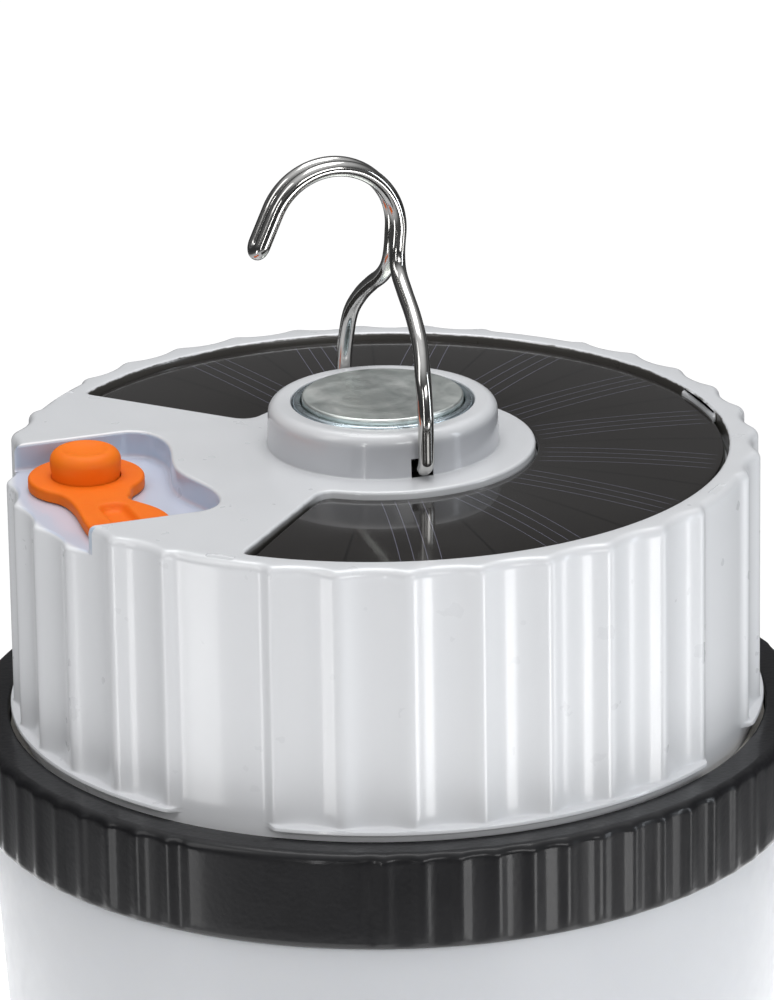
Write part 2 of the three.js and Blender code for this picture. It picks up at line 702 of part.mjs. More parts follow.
// A pan-head screw that stands with its head down.
function screw(x, y, headTop, tip, radius) {
  const head = 1.9 * radius;
  const shape = revolve([
    [0, headTop - 1.5],
    [head - 0.4, headTop - 1.5],
    [head, headTop - 1.1],
    [head, headTop],
    [radius, headTop],
    [radius, tip - radius],
    [0.3 * radius, tip],
    [0, tip],
  ], 8);
  return shape.translate([x, y, 0]);
}

function lead(points) {
  const path = new THREE.CatmullRomCurve3(points.map((point) => vector(...point)));
  return tube(path, 0.65, 6, 12);
}

const panelLead = (shift) => lead([
  [LEAD_HOLE.x + shift, LEAD_HOLE.y, RECESS_FLOOR - 0.2],
  [LEAD_HOLE.x + shift, LEAD_HOLE.y, CEILING - 1.5],
  [-16 + shift, 22.5, CIRCUIT_TOP + 2.2],
  [-23 + shift, 18, CIRCUIT_TOP + 1],
]);

const batteryLead = (side) => lead([
  [-22, side * 33.9, CELL_Z],
  [-23.5, side * 34.2, CELL_Z + 6],
  [-25, side * 33, CELL_Z + 12.5],
  [-29, side * 24, CIRCUIT_BOTTOM - 3.4],
  [-33, side * 16, CIRCUIT_BOTTOM - 1.4],
  [-34, side * 13, CIRCUIT_BOTTOM - 1],
]);

const ledLead = (side) => lead([
  [LED_LEAD_X, side * 1.7, CIRCUIT_BOTTOM - 0.5],
  [LED_LEAD_X, side * 1.7, CELL_Z],
  [LED_LEAD_X, side * 1.7, LED_PLATE_BOTTOM + 1],
  [LED_LEAD_X + 0.2, side * 1.7, LED_PLATE_BOTTOM - 1.6],
  [LED_LEAD_X + 3.6, side * 1.7, LED_BOARD_BOTTOM - 0.95],
]);

// ------------------------------------------------------------------- assembly

const lantern = new THREE.Group();

function add(name, shape, colour, roughness, metalness = 0, parent = lantern) {
  const material = new THREE.MeshStandardMaterial({ color: colour, roughness, metalness });
  const mesh = new THREE.Mesh(geometryOf(shape), material);
  mesh.name = name;
  parent.add(mesh);
}

add('upper_housing', upperHousing(), 0xdcdee3, 0.35);
add('solar_board', solarBoard(), 0x3b3f3a, 0.6);
add('solar_cells', solarCells(), 0x26241f, 0.12);
add('magnet_cup', magnetCup(), 0x8c9794, 0.35, 1);
add('magnet_disc', magnetDisc(), 0x8f9a92, 0.3, 1);

const hookGroup = new THREE.Group();
hookGroup.position.set(0, 0, HOOK_PIVOT);
hookGroup.rotation.y = radians(HOOK_LEAN);
lantern.add(hookGroup);
add('hanging_hook', tube(hookWire(), WIRE_RADIUS, 8, 110), 0xb9bcc0, 0.12, 1, hookGroup);

add('seal_base', sealBase(), 0xf37823, 0.55);
add('power_button', powerButton(), 0xf37823, 0.5);
add('port_cover', portCover(), 0xf37823, 0.55);

add('control_board', circuitBoard(), 0x1e5a34, 0.5);
add('usb_socket', usbSocket(), 0xb4b6b8, 0.3, 1);
add('switch_body', switchBody(), 0x2a2a2c, 0.5);
add('switch_plunger', switchPlunger(), 0x1b1b1d, 0.5);
add('charge_chip', box([-33, 3, CIRCUIT_TOP + 0.9], [5, 4, 1.6]), 0x1c1c1e, 0.5);
add('driver_coil', cylinder(-30, -8, 3, CIRCUIT_TOP + 0.1, CIRCUIT_TOP + 3.1), 0x4a4643, 0.6);
circuitScrewPlaces.forEach(({ x, y }, i) => {
  add(`circuit_screw_${i + 1}`, screw(x, y, CIRCUIT_BOTTOM - 0.1, CEILING - 0.8, 1.1), 0x9a9ca0, 0.35, 1);
});

[-1, 0, 1].forEach((place, i) => {
  add(`battery_cell_${i + 1}`, batteryCell(place * CELL_PITCH), 0x2d6f9e, 0.4);
});
add('cell_link_front', cellLink(-1), 0xbfc0bd, 0.3, 1);
add('cell_link_rear', cellLink(1), 0xbfc0bd, 0.3, 1);
add('battery_tray', batteryTray(), 0x2b2c2e, 0.55);
[-1, 1].forEach((side, i) => {
  const shape = screw(0, side * TRAY_SCREW_Y, WEB_BOTTOM - 0.1, WEB_TOP + 1.8, 1.1);
  add(`tray_screw_${i + 1}`, shape, 0x9a9ca0, 0.35, 1);
});

add('collar', collar(), 0x1d1d1f, 0.45);
add('gasket', gasket(), 0xb9b4aa, 0.7);
add('led_plate', ledPlate(), 0xa9adb0, 0.4, 1);
add('led_board', ledBoard(), 0xe9e9e4, 0.4);
for (let place = 0; place < LED_COUNT; place += 1) {
  add(`led_${place + 1}`, led(place), 0xf0dfa0, 0.3);
}
add('diffuser', diffuser(), 0xe8e8e6, 0.4);
screwPlaces.forEach(({ x, y }, i) => {
  add(`collar_screw_${i + 1}`, screw(x, y, LED_PLATE_BOTTOM - 0.1, TOP - 28, 1.4), 0x9a9ca0, 0.35, 1);
});

add('panel_lead_red', panelLead(1.2), 0xb3261e, 0.5);
add('panel_lead_black', panelLead(-1.2), 0x1f1f20, 0.5);
add('battery_lead_red', batteryLead(1), 0xb3261e, 0.5);
add('battery_lead_black', batteryLead(-1), 0x1f1f20, 0.5);
add('led_lead_red', ledLead(1), 0xb3261e, 0.5);
add('led_lead_black', ledLead(-1), 0x1f1f20, 0.5);

export default lantern;
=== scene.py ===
"""A solar lantern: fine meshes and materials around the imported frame.

Lengths in the helper functions are millimetres in the frame's own axes; they
become metres when a mesh is made. -X is the side of the button and the port.
"""

import json
import math

import bmesh
import bpy
import numpy as np
from mathutils import Matrix, Vector


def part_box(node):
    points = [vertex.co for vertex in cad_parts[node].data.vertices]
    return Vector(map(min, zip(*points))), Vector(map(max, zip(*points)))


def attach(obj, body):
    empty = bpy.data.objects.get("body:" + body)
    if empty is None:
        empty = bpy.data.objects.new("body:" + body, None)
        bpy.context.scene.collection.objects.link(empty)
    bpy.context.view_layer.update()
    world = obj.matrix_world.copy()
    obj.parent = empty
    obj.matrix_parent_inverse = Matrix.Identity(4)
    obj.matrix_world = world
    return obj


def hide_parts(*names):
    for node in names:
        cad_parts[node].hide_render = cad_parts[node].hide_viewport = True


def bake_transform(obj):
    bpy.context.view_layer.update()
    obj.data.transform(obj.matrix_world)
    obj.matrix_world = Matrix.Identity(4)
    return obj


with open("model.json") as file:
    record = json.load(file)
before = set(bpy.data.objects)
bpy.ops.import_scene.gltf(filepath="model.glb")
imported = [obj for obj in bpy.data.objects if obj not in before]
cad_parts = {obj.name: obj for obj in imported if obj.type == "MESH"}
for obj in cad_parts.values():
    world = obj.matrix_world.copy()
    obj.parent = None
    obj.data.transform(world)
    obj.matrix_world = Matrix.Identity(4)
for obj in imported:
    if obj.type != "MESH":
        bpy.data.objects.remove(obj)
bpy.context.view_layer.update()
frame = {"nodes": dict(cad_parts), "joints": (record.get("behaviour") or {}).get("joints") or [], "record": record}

MM = 0.001


def height(node, corner):
    """The lowest (0) or highest (1) point of a CAD node, in millimetres."""
    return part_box(node)[corner].z / MM


# ---- dimensions

TOP = height("solar_cells", 1) + 0.8  # the housing's top face
COLLAR_TOP = height("collar", 1)
COLLAR_BOTTOM = height("collar", 0)
COLLAR_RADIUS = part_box("collar")[1].x / MM
BOSS_TOP = height("upper_housing", 1)
HOUSING_BOTTOM = height("upper_housing", 0)
FLANGE_TOP = TOP - 37.9
FLANGE_BOTTOM = TOP - 38.6
FLANGE_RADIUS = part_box("upper_housing")[1].x / MM
POCKET_FLOOR = TOP - 4.0
RECESS_FLOOR = TOP - 3.3
RECESS_INNER = 21.9
RECESS_OUTER = 49.6
RECESS_HALF_ANGLE = 132.5
TAB_HALF_ANGLE = 7.0
CEILING = TOP - 6.2
POCKET_HALF_LENGTH = 18.0
BUTTON_LOW, BUTTON_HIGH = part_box("power_button")
SEAL_X = (BUTTON_LOW.x + BUTTON_HIGH.x) / 2 / MM
BUTTON_Y = (BUTTON_LOW.y + BUTTON_HIGH.y) / 2 / MM
BUTTON_TOP = height("power_button", 1)
SEAL_BOTTOM = height("seal_base", 0)
SEAL_TOP = height("seal_base", 1)
JOINTS = {joint["name"]: joint for joint in frame["joints"]}
HINGE_Y = JOINTS["cover_fold"]["pos_m"][1] / MM
HOOK_PIVOT = JOINTS["hook_tilt"]["pos_m"][2] / MM

SNAP_HEIGHT = TOP - 49.5  # where the diffuser clips into the collar
BORE_RADIUS = 50.8  # inside the housing's wall
BOSS_RADIUS = 16.5
MAGNET_SEAT_RADIUS = 13.2
MAGNET_RADIUS = 12.9
DISC_RADIUS = 11.6
WIRE_RADIUS = 1.15
KNOB_RADIUS = 5.1
STEM_RADIUS = 2.5
RIB_HEIGHT = 0.42  # of the collar's upright ribs
RIDGE_RADIUS = 54.65
FLUTE_DEPTH = 1.5
FLUTES_PER_SIDE = 7
PANEL_ANGLE = 16.5
PANEL_RADIUS = 53.3
DRAFT = 0.1
COLUMNS = 1440  # around the housing and the collar

# ---- mesh helpers


def add_object(name, data):
    obj = bpy.data.objects.new(name, data)
    bpy.context.scene.collection.objects.link(obj)
    return obj


def make_object(name, vertices, faces):
    """An object of one mesh, with doubled points merged and faces turned outwards."""
    mesh = bpy.data.meshes.new(name)
    mesh.from_pydata((np.asarray(vertices, float) * MM).tolist(), [], faces)
    mesh.validate()
    bm = bmesh.new()
    bm.from_mesh(mesh)
    bmesh.ops.remove_doubles(bm, verts=bm.verts, dist=1e-7)
    bmesh.ops.recalc_face_normals(bm, faces=bm.faces)
    bm.to_mesh(mesh)
    bm.free()
    return add_object(name, mesh)


def grid_of_revolution(name, rows):
    """A closed skin of rows of (radii, height). Single radii of 0 close the ends."""
    vertices, rings = [], []
    for radii, z in rows:
        radii = np.broadcast_to(radii, (COLUMNS,)) if np.ndim(radii) or radii else np.zeros(1)
        turn = 2 * np.pi * np.arange(len(radii)) / len(radii)
        start = sum(len(ring) for ring in rings)
        rings.append(range(start, start + len(radii)))
        vertices.append(np.column_stack(
            [radii * np.cos(turn), radii * np.sin(turn), np.full(len(radii), z)]))
    return make_object(name, np.vstack(vertices), ring_faces(rings))


def ring_faces(rings, closed=False):
    """Quads between neighbouring rings, and triangles where a ring is one point."""
    faces = []
    pairs = list(zip(rings, rings[1:]))
    if closed:
        pairs.append((rings[-1], rings[0]))
    for low, high in pairs:
        count = max(len(low), len(high))
        for i in range(count):
            j = (i + 1) % count
            corners = [low[i % len(low)], low[j % len(low)], high[j % len(high)], high[i % len(high)]]
            faces.append(tuple(dict.fromkeys(corners)))
    return faces


def lathe(name, profile, segments=192, centre=(0, 0), closed=False):
    """A solid turned round the Z axis through centre, from (radius, height) points."""
    vertices, rings = [], []
    for radius, z in profile:
        count = segments if radius > 1e-6 else 1
        turn = 2 * np.pi * np.arange(count) / count
        rings.append(range(len(vertices), len(vertices) + count))
        vertices += [(centre[0] + radius * math.cos(t), centre[1] + radius * math.sin(t), z)
                     for t in turn]
    return make_object(name, vertices, ring_faces(rings, closed))


def arc(x, y, radius, start, end, count=8):
    """Points of an arc, from one angle to another in degrees."""
    angles = np.radians(np.linspace(start, end, count + 1))
    return [(x + radius * math.cos(a), y + radius * math.sin(a)) for a in angles]


def bezier(a, b, c, d, count=24):
    """Points of the cubic curve from a to d, which b and c pull on."""
    a, b, c, d = (np.array(p, float) for p in (a, b, c, d))
    return [tuple((1 - t) ** 3 * a + 3 * (1 - t) ** 2 * t * b + 3 * (1 - t) * t * t * c + t ** 3 * d)
            for t in np.linspace(0, 1, count + 1)]


def evenly(points, spacing):
    """A closed outline with its points spread evenly along it."""
    points = np.array(points, float)
    points = points[np.linalg.norm(points - np.roll(points, 1, 0), axis=1) > 1e-6]
    loop = np.vstack([points, points[:1]])
    along = np.r_[0, np.cumsum(np.linalg.norm(np.diff(loop, axis=0), axis=1))]
    places = np.linspace(0, along[-1], max(12, round(along[-1] / spacing)), endpoint=False)
    return np.column_stack([np.interp(places, along, loop[:, i]) for i in range(2)])


def outward(outline):
    """Unit normals of a closed outline that runs counter-clockwise."""
    tangent = np.roll(outline, -1, 0) - np.roll(outline, 1, 0)
    normal = np.column_stack([tangent[:, 1], -tangent[:, 0]])
    return normal / np.linalg.norm(normal, axis=1)[:, None]


def prism(name, outline, profile):
    """An outline carried through (offset, height) steps, with flat ends."""
    area = np.sum(outline[:, 0] * np.roll(outline[:, 1], -1) - outline[:, 1] * np.roll(outline[:, 0], -1))
    outline = outline if area > 0 else outline[::-1]
    normal = outward(outline)
    count = len(outline)
    layers = [np.column_stack([outline + offset * normal, np.full(count, z)]) for offset, z in profile]
    rings = [range(i * count, (i + 1) * count) for i in range(len(layers))]
    faces = ring_faces(rings)
    faces.append(tuple(rings[0]))
    faces.append(tuple(rings[-1]))
    return make_object(name, np.vstack(layers), faces)


def rounded_profile(bottom, top, radius, low_radius=None, steps=5):
    """Offsets and heights of a plate with both edges rounded inwards."""
    low = radius if low_radius is None else low_radius
    below = [(-low + x, bottom + low + y) for x, y in arc(0, 0, low, -90, 0, steps)]
    above = [(-radius + x, top - radius + y) for x, y in arc(0, 0, radius, 0, 90, steps)]
    return below + above


def flared_profile(bottom, top, flare, floor=0.3):
    """A cutter's offsets and heights: a rounded floor edge and a flare at the top."""
    foot = [(-floor + x, bottom + floor + y) for x, y in arc(0, 0, floor, -90, 0, 4)]
    lip = [(flare + x, top - flare + y) for x, y in arc(0, 0, flare, 180, 90, 6)]
    return foot + lip + [(flare + 0.02, top + 2.5)]


def sweep(name, points, radius, sides):
    """A round rod along points, with domed ends."""
    points = np.array(points, float)
    tangent = np.gradient(points, axis=0)
    tangent /= np.linalg.norm(tangent, axis=1)[:, None]
    side = np.cross(tangent[0], (0.3, 0.9, 0.1))
    side /= np.linalg.norm(side)
    turn = 2 * np.pi * np.arange(sides) / sides
    vertices, rings = [], []

    def ring(centre, size):
        across = np.cross(direction, side)
        start = len(vertices)
        rings.append(range(start, start + (sides if size > 1e-6 else 1)))
        for t in turn[:len(rings[-1])]:
            vertices.append(centre + size * (math.cos(t) * side + math.sin(t) * across))

    dome = [(math.cos(a), math.sin(a)) for a in np.radians(np.linspace(90, 0, 5))][:-1]
    last = len(points) - 1
    for i, (point, direction) in enumerate(zip(points, tangent)):
        side = side - direction * np.dot(side, direction)
        side /= np.linalg.norm(side)
        if i == 0:
            for size, out in dome:
                ring(point - direction * radius * 0.5 * out, radius * size)
        ring(point, radius)
        if i == last:
            for size, out in reversed(dome):
                ring(point + direction * radius * 0.5 * out, radius * size)
    return make_object(name, vertices, ring_faces(rings))


def cut(obj, *cutters, operation="DIFFERENCE"):
    """Applies booleans with the cutters and removes them."""
    for cutter in cutters:
        modifier = obj.modifiers.new("cut", "BOOLEAN")
        modifier.object = cutter
        modifier.operation = operation
        modifier.solver = "MANIFOLD"
        graph = bpy.context.evaluated_depsgraph_get()
        mesh = bpy.data.meshes.new_from_object(obj.evaluated_get(graph))
        if not mesh.polygons:
            raise RuntimeError(f"{obj.name}: cutting with {cutter.name} left nothing")
        obj.modifiers.clear()
        obj.data = mesh
        bpy.data.objects.remove(cutter)
    obj.data.name = obj.name
    return obj


def finish_piece(obj, material, body, nodes, angle=32):
    """Smooth shading, material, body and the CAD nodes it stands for."""
    obj.data.materials.clear()
    obj.data.materials.append(material)
    obj.data.shade_smooth()
    obj.data.set_sharp_from_angle(angle=math.radians(angle))
    weighted = obj.modifiers.new("weighted_normals", "WEIGHTED_NORMAL")
    weighted.keep_sharp = True
    weighted.weight = 80
    if body:
        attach(obj, body)
    if nodes:
        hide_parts(*nodes)
    return obj


# ---- material helpers


class Nodes:
    """Short calls that make and feed the nodes of one tree."""

    def __init__(self, tree):
        self.tree = tree

    def node(self, kind, inputs=None, **settings):
        node = self.tree.nodes.new("ShaderNode" + kind)
        for key, value in settings.items():
            setattr(node, key, value)
        for key, value in (inputs or {}).items():
            self.feed(node.inputs[key], value)
        return node

    def feed(self, socket, value):
        if isinstance(value, bpy.types.NodeSocket):
            self.tree.links.new(value, socket)
        else:
            socket.default_value = value

    def math(self, operation, *values):
        return self.node("Math", dict(enumerate(values)), operation=operation).outputs[0]

    def product(self, first, *others):
        for value in others:
            first = self.math("MULTIPLY", first, value)
        return first

    def mix(self, share, first, second, blend="MIX"):
        inputs = {0: share, 6: opaque(first), 7: opaque(second)}
        return self.node("Mix", inputs, data_type="RGBA", blend_type=blend).outputs[2]


def opaque(colour):
    return colour if isinstance(colour, bpy.types.NodeSocket) else (*colour, 1.0)


class Finish(Nodes):
    """A Principled material and the patterns that feed it."""

    def __init__(self, name, **sockets):
        self.material = bpy.data.materials.new(name)
        self.material.use_nodes = True
        super().__init__(self.material.node_tree)
        self.shader = self.tree.nodes["Principled BSDF"]
        self.coordinates = self.node("TexCoord").outputs["Object"]
        for socket, value in sockets.items():
            self.shader.inputs[socket.replace("_", " ")].default_value = value

    def fade(self, value, start, end):
        """1 up to start, then smoothly down to 0 at end."""
        return self.remap(value, start, end, 1.0, 0.0, smooth=True)

    def near(self, value, middle, reach):
        """1 where value is less than reach from middle, and 0 elsewhere."""
        return self.math("LESS_THAN", self.math("ABSOLUTE", self.math("SUBTRACT", value, middle)), reach)

    def places(self):
        """X, Y and Z and the distance from the Z axis in millimetres, and the angle round it in degrees."""
        split = self.node("SeparateXYZ", {"Vector": self.scaled(1 / MM, 1 / MM, 1 / MM)})
        x, y, z = (split.outputs[axis] for axis in "XYZ")
        radius = self.math("SQRT", self.math("ADD", self.product(x, x), self.product(y, y)))
        return x, y, z, radius, self.math("DEGREES", self.math("ARCTAN2", y, x))

    def scaled(self, *scale):
        """The object's coordinates in metres, stretched by a factor for each axis."""
        inputs = {"Vector": self.coordinates, "Scale": scale}
        return self.node("Mapping", inputs).outputs["Vector"]

    def noise(self, scale, detail, roughness=0.5, stretch=(1, 1, 1), distortion=0.0):
        """Noise with scale features per metre."""
        inputs = {"Vector": self.scaled(*stretch), "Scale": scale, "Detail": detail,
                  "Roughness": roughness, "Distortion": distortion}
        return self.node("TexNoise", inputs).outputs["Fac"]

    def cells(self, scale, feature="F1"):
        """The distance from scattered points, scale of them per metre."""
        inputs = {"Vector": self.scaled(1, 1, 1), "Scale": scale}
        return self.node("TexVoronoi", inputs, feature=feature).outputs["Distance"]

    def remap(self, value, low, high, to_low, to_high, smooth=False):
        kind = "SMOOTHSTEP" if smooth else "LINEAR"
        inputs = {"Value": value, "From Min": low, "From Max": high, "To Min": to_low, "To Max": to_high}
        return self.node("MapRange", inputs, interpolation_type=kind).outputs["Result"]

    def bump(self, *layers):
        """Bumps on top of each other, each (height value, depth in metres)."""
        normal = None
        for value, depth in layers:
            inputs = {"Height": value, "Distance": depth, "Strength": 1.0}
            if normal:
                inputs["Normal"] = normal
            normal = self.node("Bump", inputs).outputs["Normal"]
        self.feed(self.shader.inputs["Normal"], normal)

    def colour(self, value):
        self.feed(self.shader.inputs["Base Color"], value)

    def rough(self, pattern, low, high, reach=(0.3, 0.7)):
        """Roughness from low to high, over the values that a noise mostly takes."""
        self.feed(self.shader.inputs["Roughness"], self.remap(pattern, *reach, low, high))


# ---- materials


def housing_plastic():
    """White moulded plastic: satin, with faint flow clouds.

    The wall is painted lighter than the top face: painted light and shade on one
    white plastic. The boss's side is painted darker, a painted shade. The button's
    pocket is painted a cool shade, darker up its walls. The walls of the panel's
    recess are painted dark below the rim, darker down the end walls.
    """
    skin = Finish("housing_plastic", IOR=1.5, Coat_Weight=0.6, Coat_Roughness=0.11)
    x, y, z, radius, turn = skin.places()
    angle = skin.math("ABSOLUTE", turn)
    clouds = skin.noise(28, 4, 0.6)
    white = skin.mix(clouds, (0.665, 0.675, 0.69), (0.695, 0.703, 0.718))

    # Painted light and shade: the wall is painted lighter than the top face, though both are the same white
    # plastic.
    wall = skin.product(skin.remap(radius, 51.4, 52.6, 0.0, 1.0, smooth=True),
                        skin.fade(z, TOP - 1.2, TOP - 0.2))
    white = skin.mix(wall, white, skin.mix(clouds, (0.82, 0.83, 0.85), (0.85, 0.86, 0.88)))
    # Painted shade: the boss's side is painted darker than the white housing.
    boss_side_shade = skin.product(skin.fade(radius, BOSS_RADIUS + 0.4, BOSS_RADIUS + 0.7),
                        skin.fade(z, BOSS_TOP - 2.2, BOSS_TOP - 0.6),
                        skin.remap(z, TOP, TOP + 0.3, 0.0, 1.0))
    white = skin.mix(boss_side_shade, white, (0.50, 0.51, 0.535))

    # Painted shade: the pocket is painted a cool, darker white, darker still up its walls.
    pocket = skin.product(skin.fade(z, TOP - 0.4, TOP - 0.08),
                          skin.remap(z, POCKET_FLOOR - 0.3, POCKET_FLOOR - 0.1, 0.0, 1.0, smooth=True),
                          skin.remap(x, -28.0, -27.5, 1.0, 0.0),
                          skin.fade(radius, 52.6, 53.9),
                          skin.near(y, 0.0, POCKET_HALF_LENGTH + 0.8))
    pocket_wall_shade = skin.remap(z, POCKET_FLOOR + 0.2, POCKET_FLOOR + 0.9, 0.0, 1.0, smooth=True)
    white = skin.mix(pocket, white, skin.mix(pocket_wall_shade, (0.57, 0.605, 0.71), (0.44, 0.54, 0.67)))

    # The walls of the panel's recess are painted dark below the rim, darker down the end walls.
    wavy_z = skin.math("ADD", z, skin.remap(skin.noise(420, 3, 0.6), 0.3, 0.7, -0.1, 0.1))
    outer_wall = skin.math("GREATER_THAN", radius, RECESS_OUTER - 0.15)
    end_wall = skin.product(skin.math("GREATER_THAN", angle, RECESS_HALF_ANGLE - 1.0),
                            skin.remap(radius, RECESS_INNER + 1, RECESS_INNER + 5, 0.0, 1.0),
                            skin.remap(wavy_z, TOP - 1.1, TOP - 0.25, 1.0, 0.3))
    dark_recess_walls = skin.product(skin.math("MAXIMUM", outer_wall, end_wall),
                         skin.fade(wavy_z, TOP - 0.30, TOP - 0.12),
                         skin.math("LESS_THAN", radius, RECESS_OUTER + 0.8),
                         skin.math("LESS_THAN", angle, RECESS_HALF_ANGLE + 1.5))
    white = skin.mix(dark_recess_walls, white, (0.085, 0.080, 0.073))

    # Painted shadow: the hook's foot holes are painted near black inside, round the wire.
    foot_hole = skin.product(skin.near(x, 0.0, 1.9), skin.near(radius, 15.0, 1.5),
                             skin.near(z, HOOK_PIVOT - 0.15, 1.55))
    skin.colour(skin.mix(foot_hole, white, (0.012, 0.012, 0.012)))
    skin.rough(skin.noise(220, 3), 0.27, 0.36)
    skin.bump((skin.noise(700, 2), 1.0e-6), (skin.noise(60, 2), 3.0e-5))
    return skin.material


def panel_resin():
    """Dark glossy resin with groups of four fine bowed lines over each cell."""
    skin = Finish("panel_resin", IOR=1.25, Coat_Weight=0.36, Coat_Roughness=0.03, Coat_IOR=1.42)
    *_, radius, angle = skin.places()
    # The groups stand a little wider apart towards one end of the panel.
    first, pitch, growth = 104.0, 20.6, 0.27
    spread = skin.math("MULTIPLY", skin.math("SUBTRACT", first, angle), 4 * growth)
    root = skin.math("SQRT", skin.math("MAXIMUM", skin.math("ADD", spread, pitch ** 2), 0.0))
    place = skin.math("DIVIDE", skin.math("SUBTRACT", root, pitch), 2 * growth)
    group = skin.math("ROUND", place)
    along = skin.math("ADD", skin.product(group, pitch), skin.product(group, group, growth))
    turn = skin.math("RADIANS", skin.math("SUBTRACT", angle, skin.math("SUBTRACT", first, along)))
    outwards = skin.product(radius, skin.math("COSINE", turn))
    sideways = skin.product(radius, skin.math("SINE", turn))
    middle, half_length, bow, spacing = 35.4, 12.4, 0.15, 1.9
    reach = skin.math("DIVIDE", skin.math("SUBTRACT", outwards, middle), half_length)
    curve = skin.product(skin.math("SUBTRACT", 1.0, skin.product(reach, reach)), bow)
    offset = skin.math("SUBTRACT", sideways, curve)
    wave = skin.math("FRACT", skin.math("DIVIDE", offset, spacing))
    away = skin.product(skin.math("ABSOLUTE", skin.math("SUBTRACT", wave, 0.5)), spacing)
    shown = skin.product(skin.fade(away, 0.015, 0.065),
                         skin.near(offset, 0.0, 2 * spacing),
                         skin.remap(skin.math("ABSOLUTE", reach), 0.9, 1.05, 1.0, 0.0),
                         skin.near(angle, 0.0, 115.0))
    # A faint joint halfway between two groups parts the cells.
    apart = skin.math("ABSOLUTE", skin.math("SUBTRACT", skin.math("FRACT", place), 0.5))
    joint = skin.remap(apart, 0.006, 0.014, 0.5, 0.0, smooth=True)
    silicon = skin.mix(skin.noise(45, 3, 0.6), (0.0195, 0.0180, 0.0170), (0.0305, 0.0285, 0.0270))
    fingers = skin.remap(skin.math("FRACT", skin.product(radius, 1.4)), 0.0, 0.2, 0.25, 0.0)
    silicon = skin.mix(fingers, silicon, (0.034, 0.033, 0.036))
    silicon = skin.mix(joint, silicon, (0.006, 0.006, 0.006))
    dust = skin.product(skin.fade(skin.cells(1500), 0.0, 0.10),
                        skin.remap(skin.noise(300, 2), 0.62, 0.72, 0.0, 0.4))
    printed = skin.mix(skin.product(shown, 0.8), silicon, (0.19, 0.19, 0.25))
    skin.colour(skin.mix(dust, printed, (0.20, 0.19, 0.18)))
    skin.rough(skin.noise(90, 3), 0.10, 0.17)
    skin.bump((skin.noise(35, 2), 4.0e-5), (skin.noise(1400, 2), 1.0e-6))
    return skin.material


def laminate():
    """The panel's board: dark woven glass."""
    skin = Finish("laminate", IOR=1.5)
    weave = skin.product(skin.noise(900, 2, stretch=(1, 0.1, 1)),
                         skin.noise(900, 2, stretch=(0.1, 1, 1)))
    skin.colour(skin.mix(weave, (0.022, 0.024, 0.021), (0.060, 0.062, 0.055)))
    skin.rough(weave, 0.5, 0.7, reach=(0.1, 0.5))
    skin.bump((weave, 2.0e-5))
    return skin.material


def plated_steel(name, low, high, roughness, grain=2.0e-6):
    """Zinc-plated or nickel-plated steel: cloudy, with fine scratches."""
    skin = Finish(name, Metallic=1.0)
    clouds = skin.noise(190, 5, 0.65, distortion=0.6)
    streaks = skin.noise(420, 4, 0.6, stretch=(1, 0.08, 1))
    tone = skin.math("MULTIPLY_ADD", streaks, 0.5, skin.product(clouds, 0.5))
    skin.colour(skin.mix(skin.remap(tone, 0.32, 0.68, 0.0, 1.0), low, high))
    skin.rough(clouds, *roughness)
    skin.bump((skin.noise(2600, 3, stretch=(1, 0.15, 1)), grain), (skin.noise(260, 3), 4 * grain))
    return skin.material


def chrome():
    """Bright plated wire with faint drawing lines along it."""
    skin = Finish("chrome", Metallic=1.0)
    lines = skin.noise(900, 3, stretch=(1, 1, 0.05))
    skin.colour(skin.mix(lines, (0.47, 0.465, 0.45), (0.60, 0.59, 0.57)))
    skin.rough(skin.noise(150, 3), 0.07, 0.15)
    skin.bump((lines, 2.0e-6), (skin.noise(120, 2), 2.0e-5))
    return skin.material


def silicone(name, low, high):
    """Matt orange silicone with a powdery bloom and rare dust."""
    skin = Finish(name, IOR=1.36, Subsurface_Weight=0.15, Subsurface_Scale=0.002,
                  Subsurface_Radius=(1.0, 0.35, 0.1))
    clouds = skin.noise(260, 4, 0.6)
    orange = skin.mix(clouds, low, high)
    dust = skin.product(skin.fade(skin.cells(1100), 0.0, 0.08),
                        skin.remap(skin.noise(240, 2), 0.6, 0.7, 0.0, 0.5))
    skin.colour(skin.mix(dust, orange, (0.93, 0.48, 0.25)))
    skin.rough(clouds, 0.50, 0.66)
    skin.bump((skin.noise(2400, 3), 6.0e-6), (skin.noise(300, 2), 2.0e-5))
    return skin.material


def collar_plastic():
    """Satin black plastic, grained like fine leather."""
    skin = Finish("collar_plastic", IOR=1.36, Coat_Weight=0.25, Coat_Roughness=0.10, Coat_IOR=1.4)
    grain = skin.cells(1500, feature="SMOOTH_F1")
    clouds = skin.noise(70, 4, 0.6)
    skin.colour(skin.mix(clouds, (0.0055, 0.0055, 0.0062), (0.0095, 0.0092, 0.0108)))
    scuffs = skin.remap(skin.noise(500, 3, stretch=(1, 1, 0.15)), 0.62, 0.70, 0.0, 0.08)
    uneven = skin.remap(clouds, 0.3, 0.7, 0.30, 0.40)
    skin.feed(skin.shader.inputs["Roughness"], skin.math("ADD", uneven, scuffs))
    skin.bump((grain, 2.4e-5), (skin.noise(1900, 2), 6.0e-6))
    return skin.material


def milky_plastic():
    """The diffuser: translucent white plastic with a fine frosted skin."""
    skin = Finish("milky_plastic", IOR=1.49, Subsurface_Weight=0.55, Subsurface_Scale=0.01,
                  Subsurface_Radius=(1.0, 0.95, 0.85))
    clouds = skin.noise(35, 4, 0.6)
    # Painted shade: the white plastic is painted grey, for the shade under the collar.
    skin.colour(skin.mix(clouds, (0.53, 0.54, 0.56), (0.58, 0.59, 0.61)))
    skin.rough(skin.noise(400, 3), 0.34, 0.46)
    skin.bump((skin.noise(2600, 2), 5.0e-6), (skin.noise(50, 2), 2.0e-5))
    return skin.material


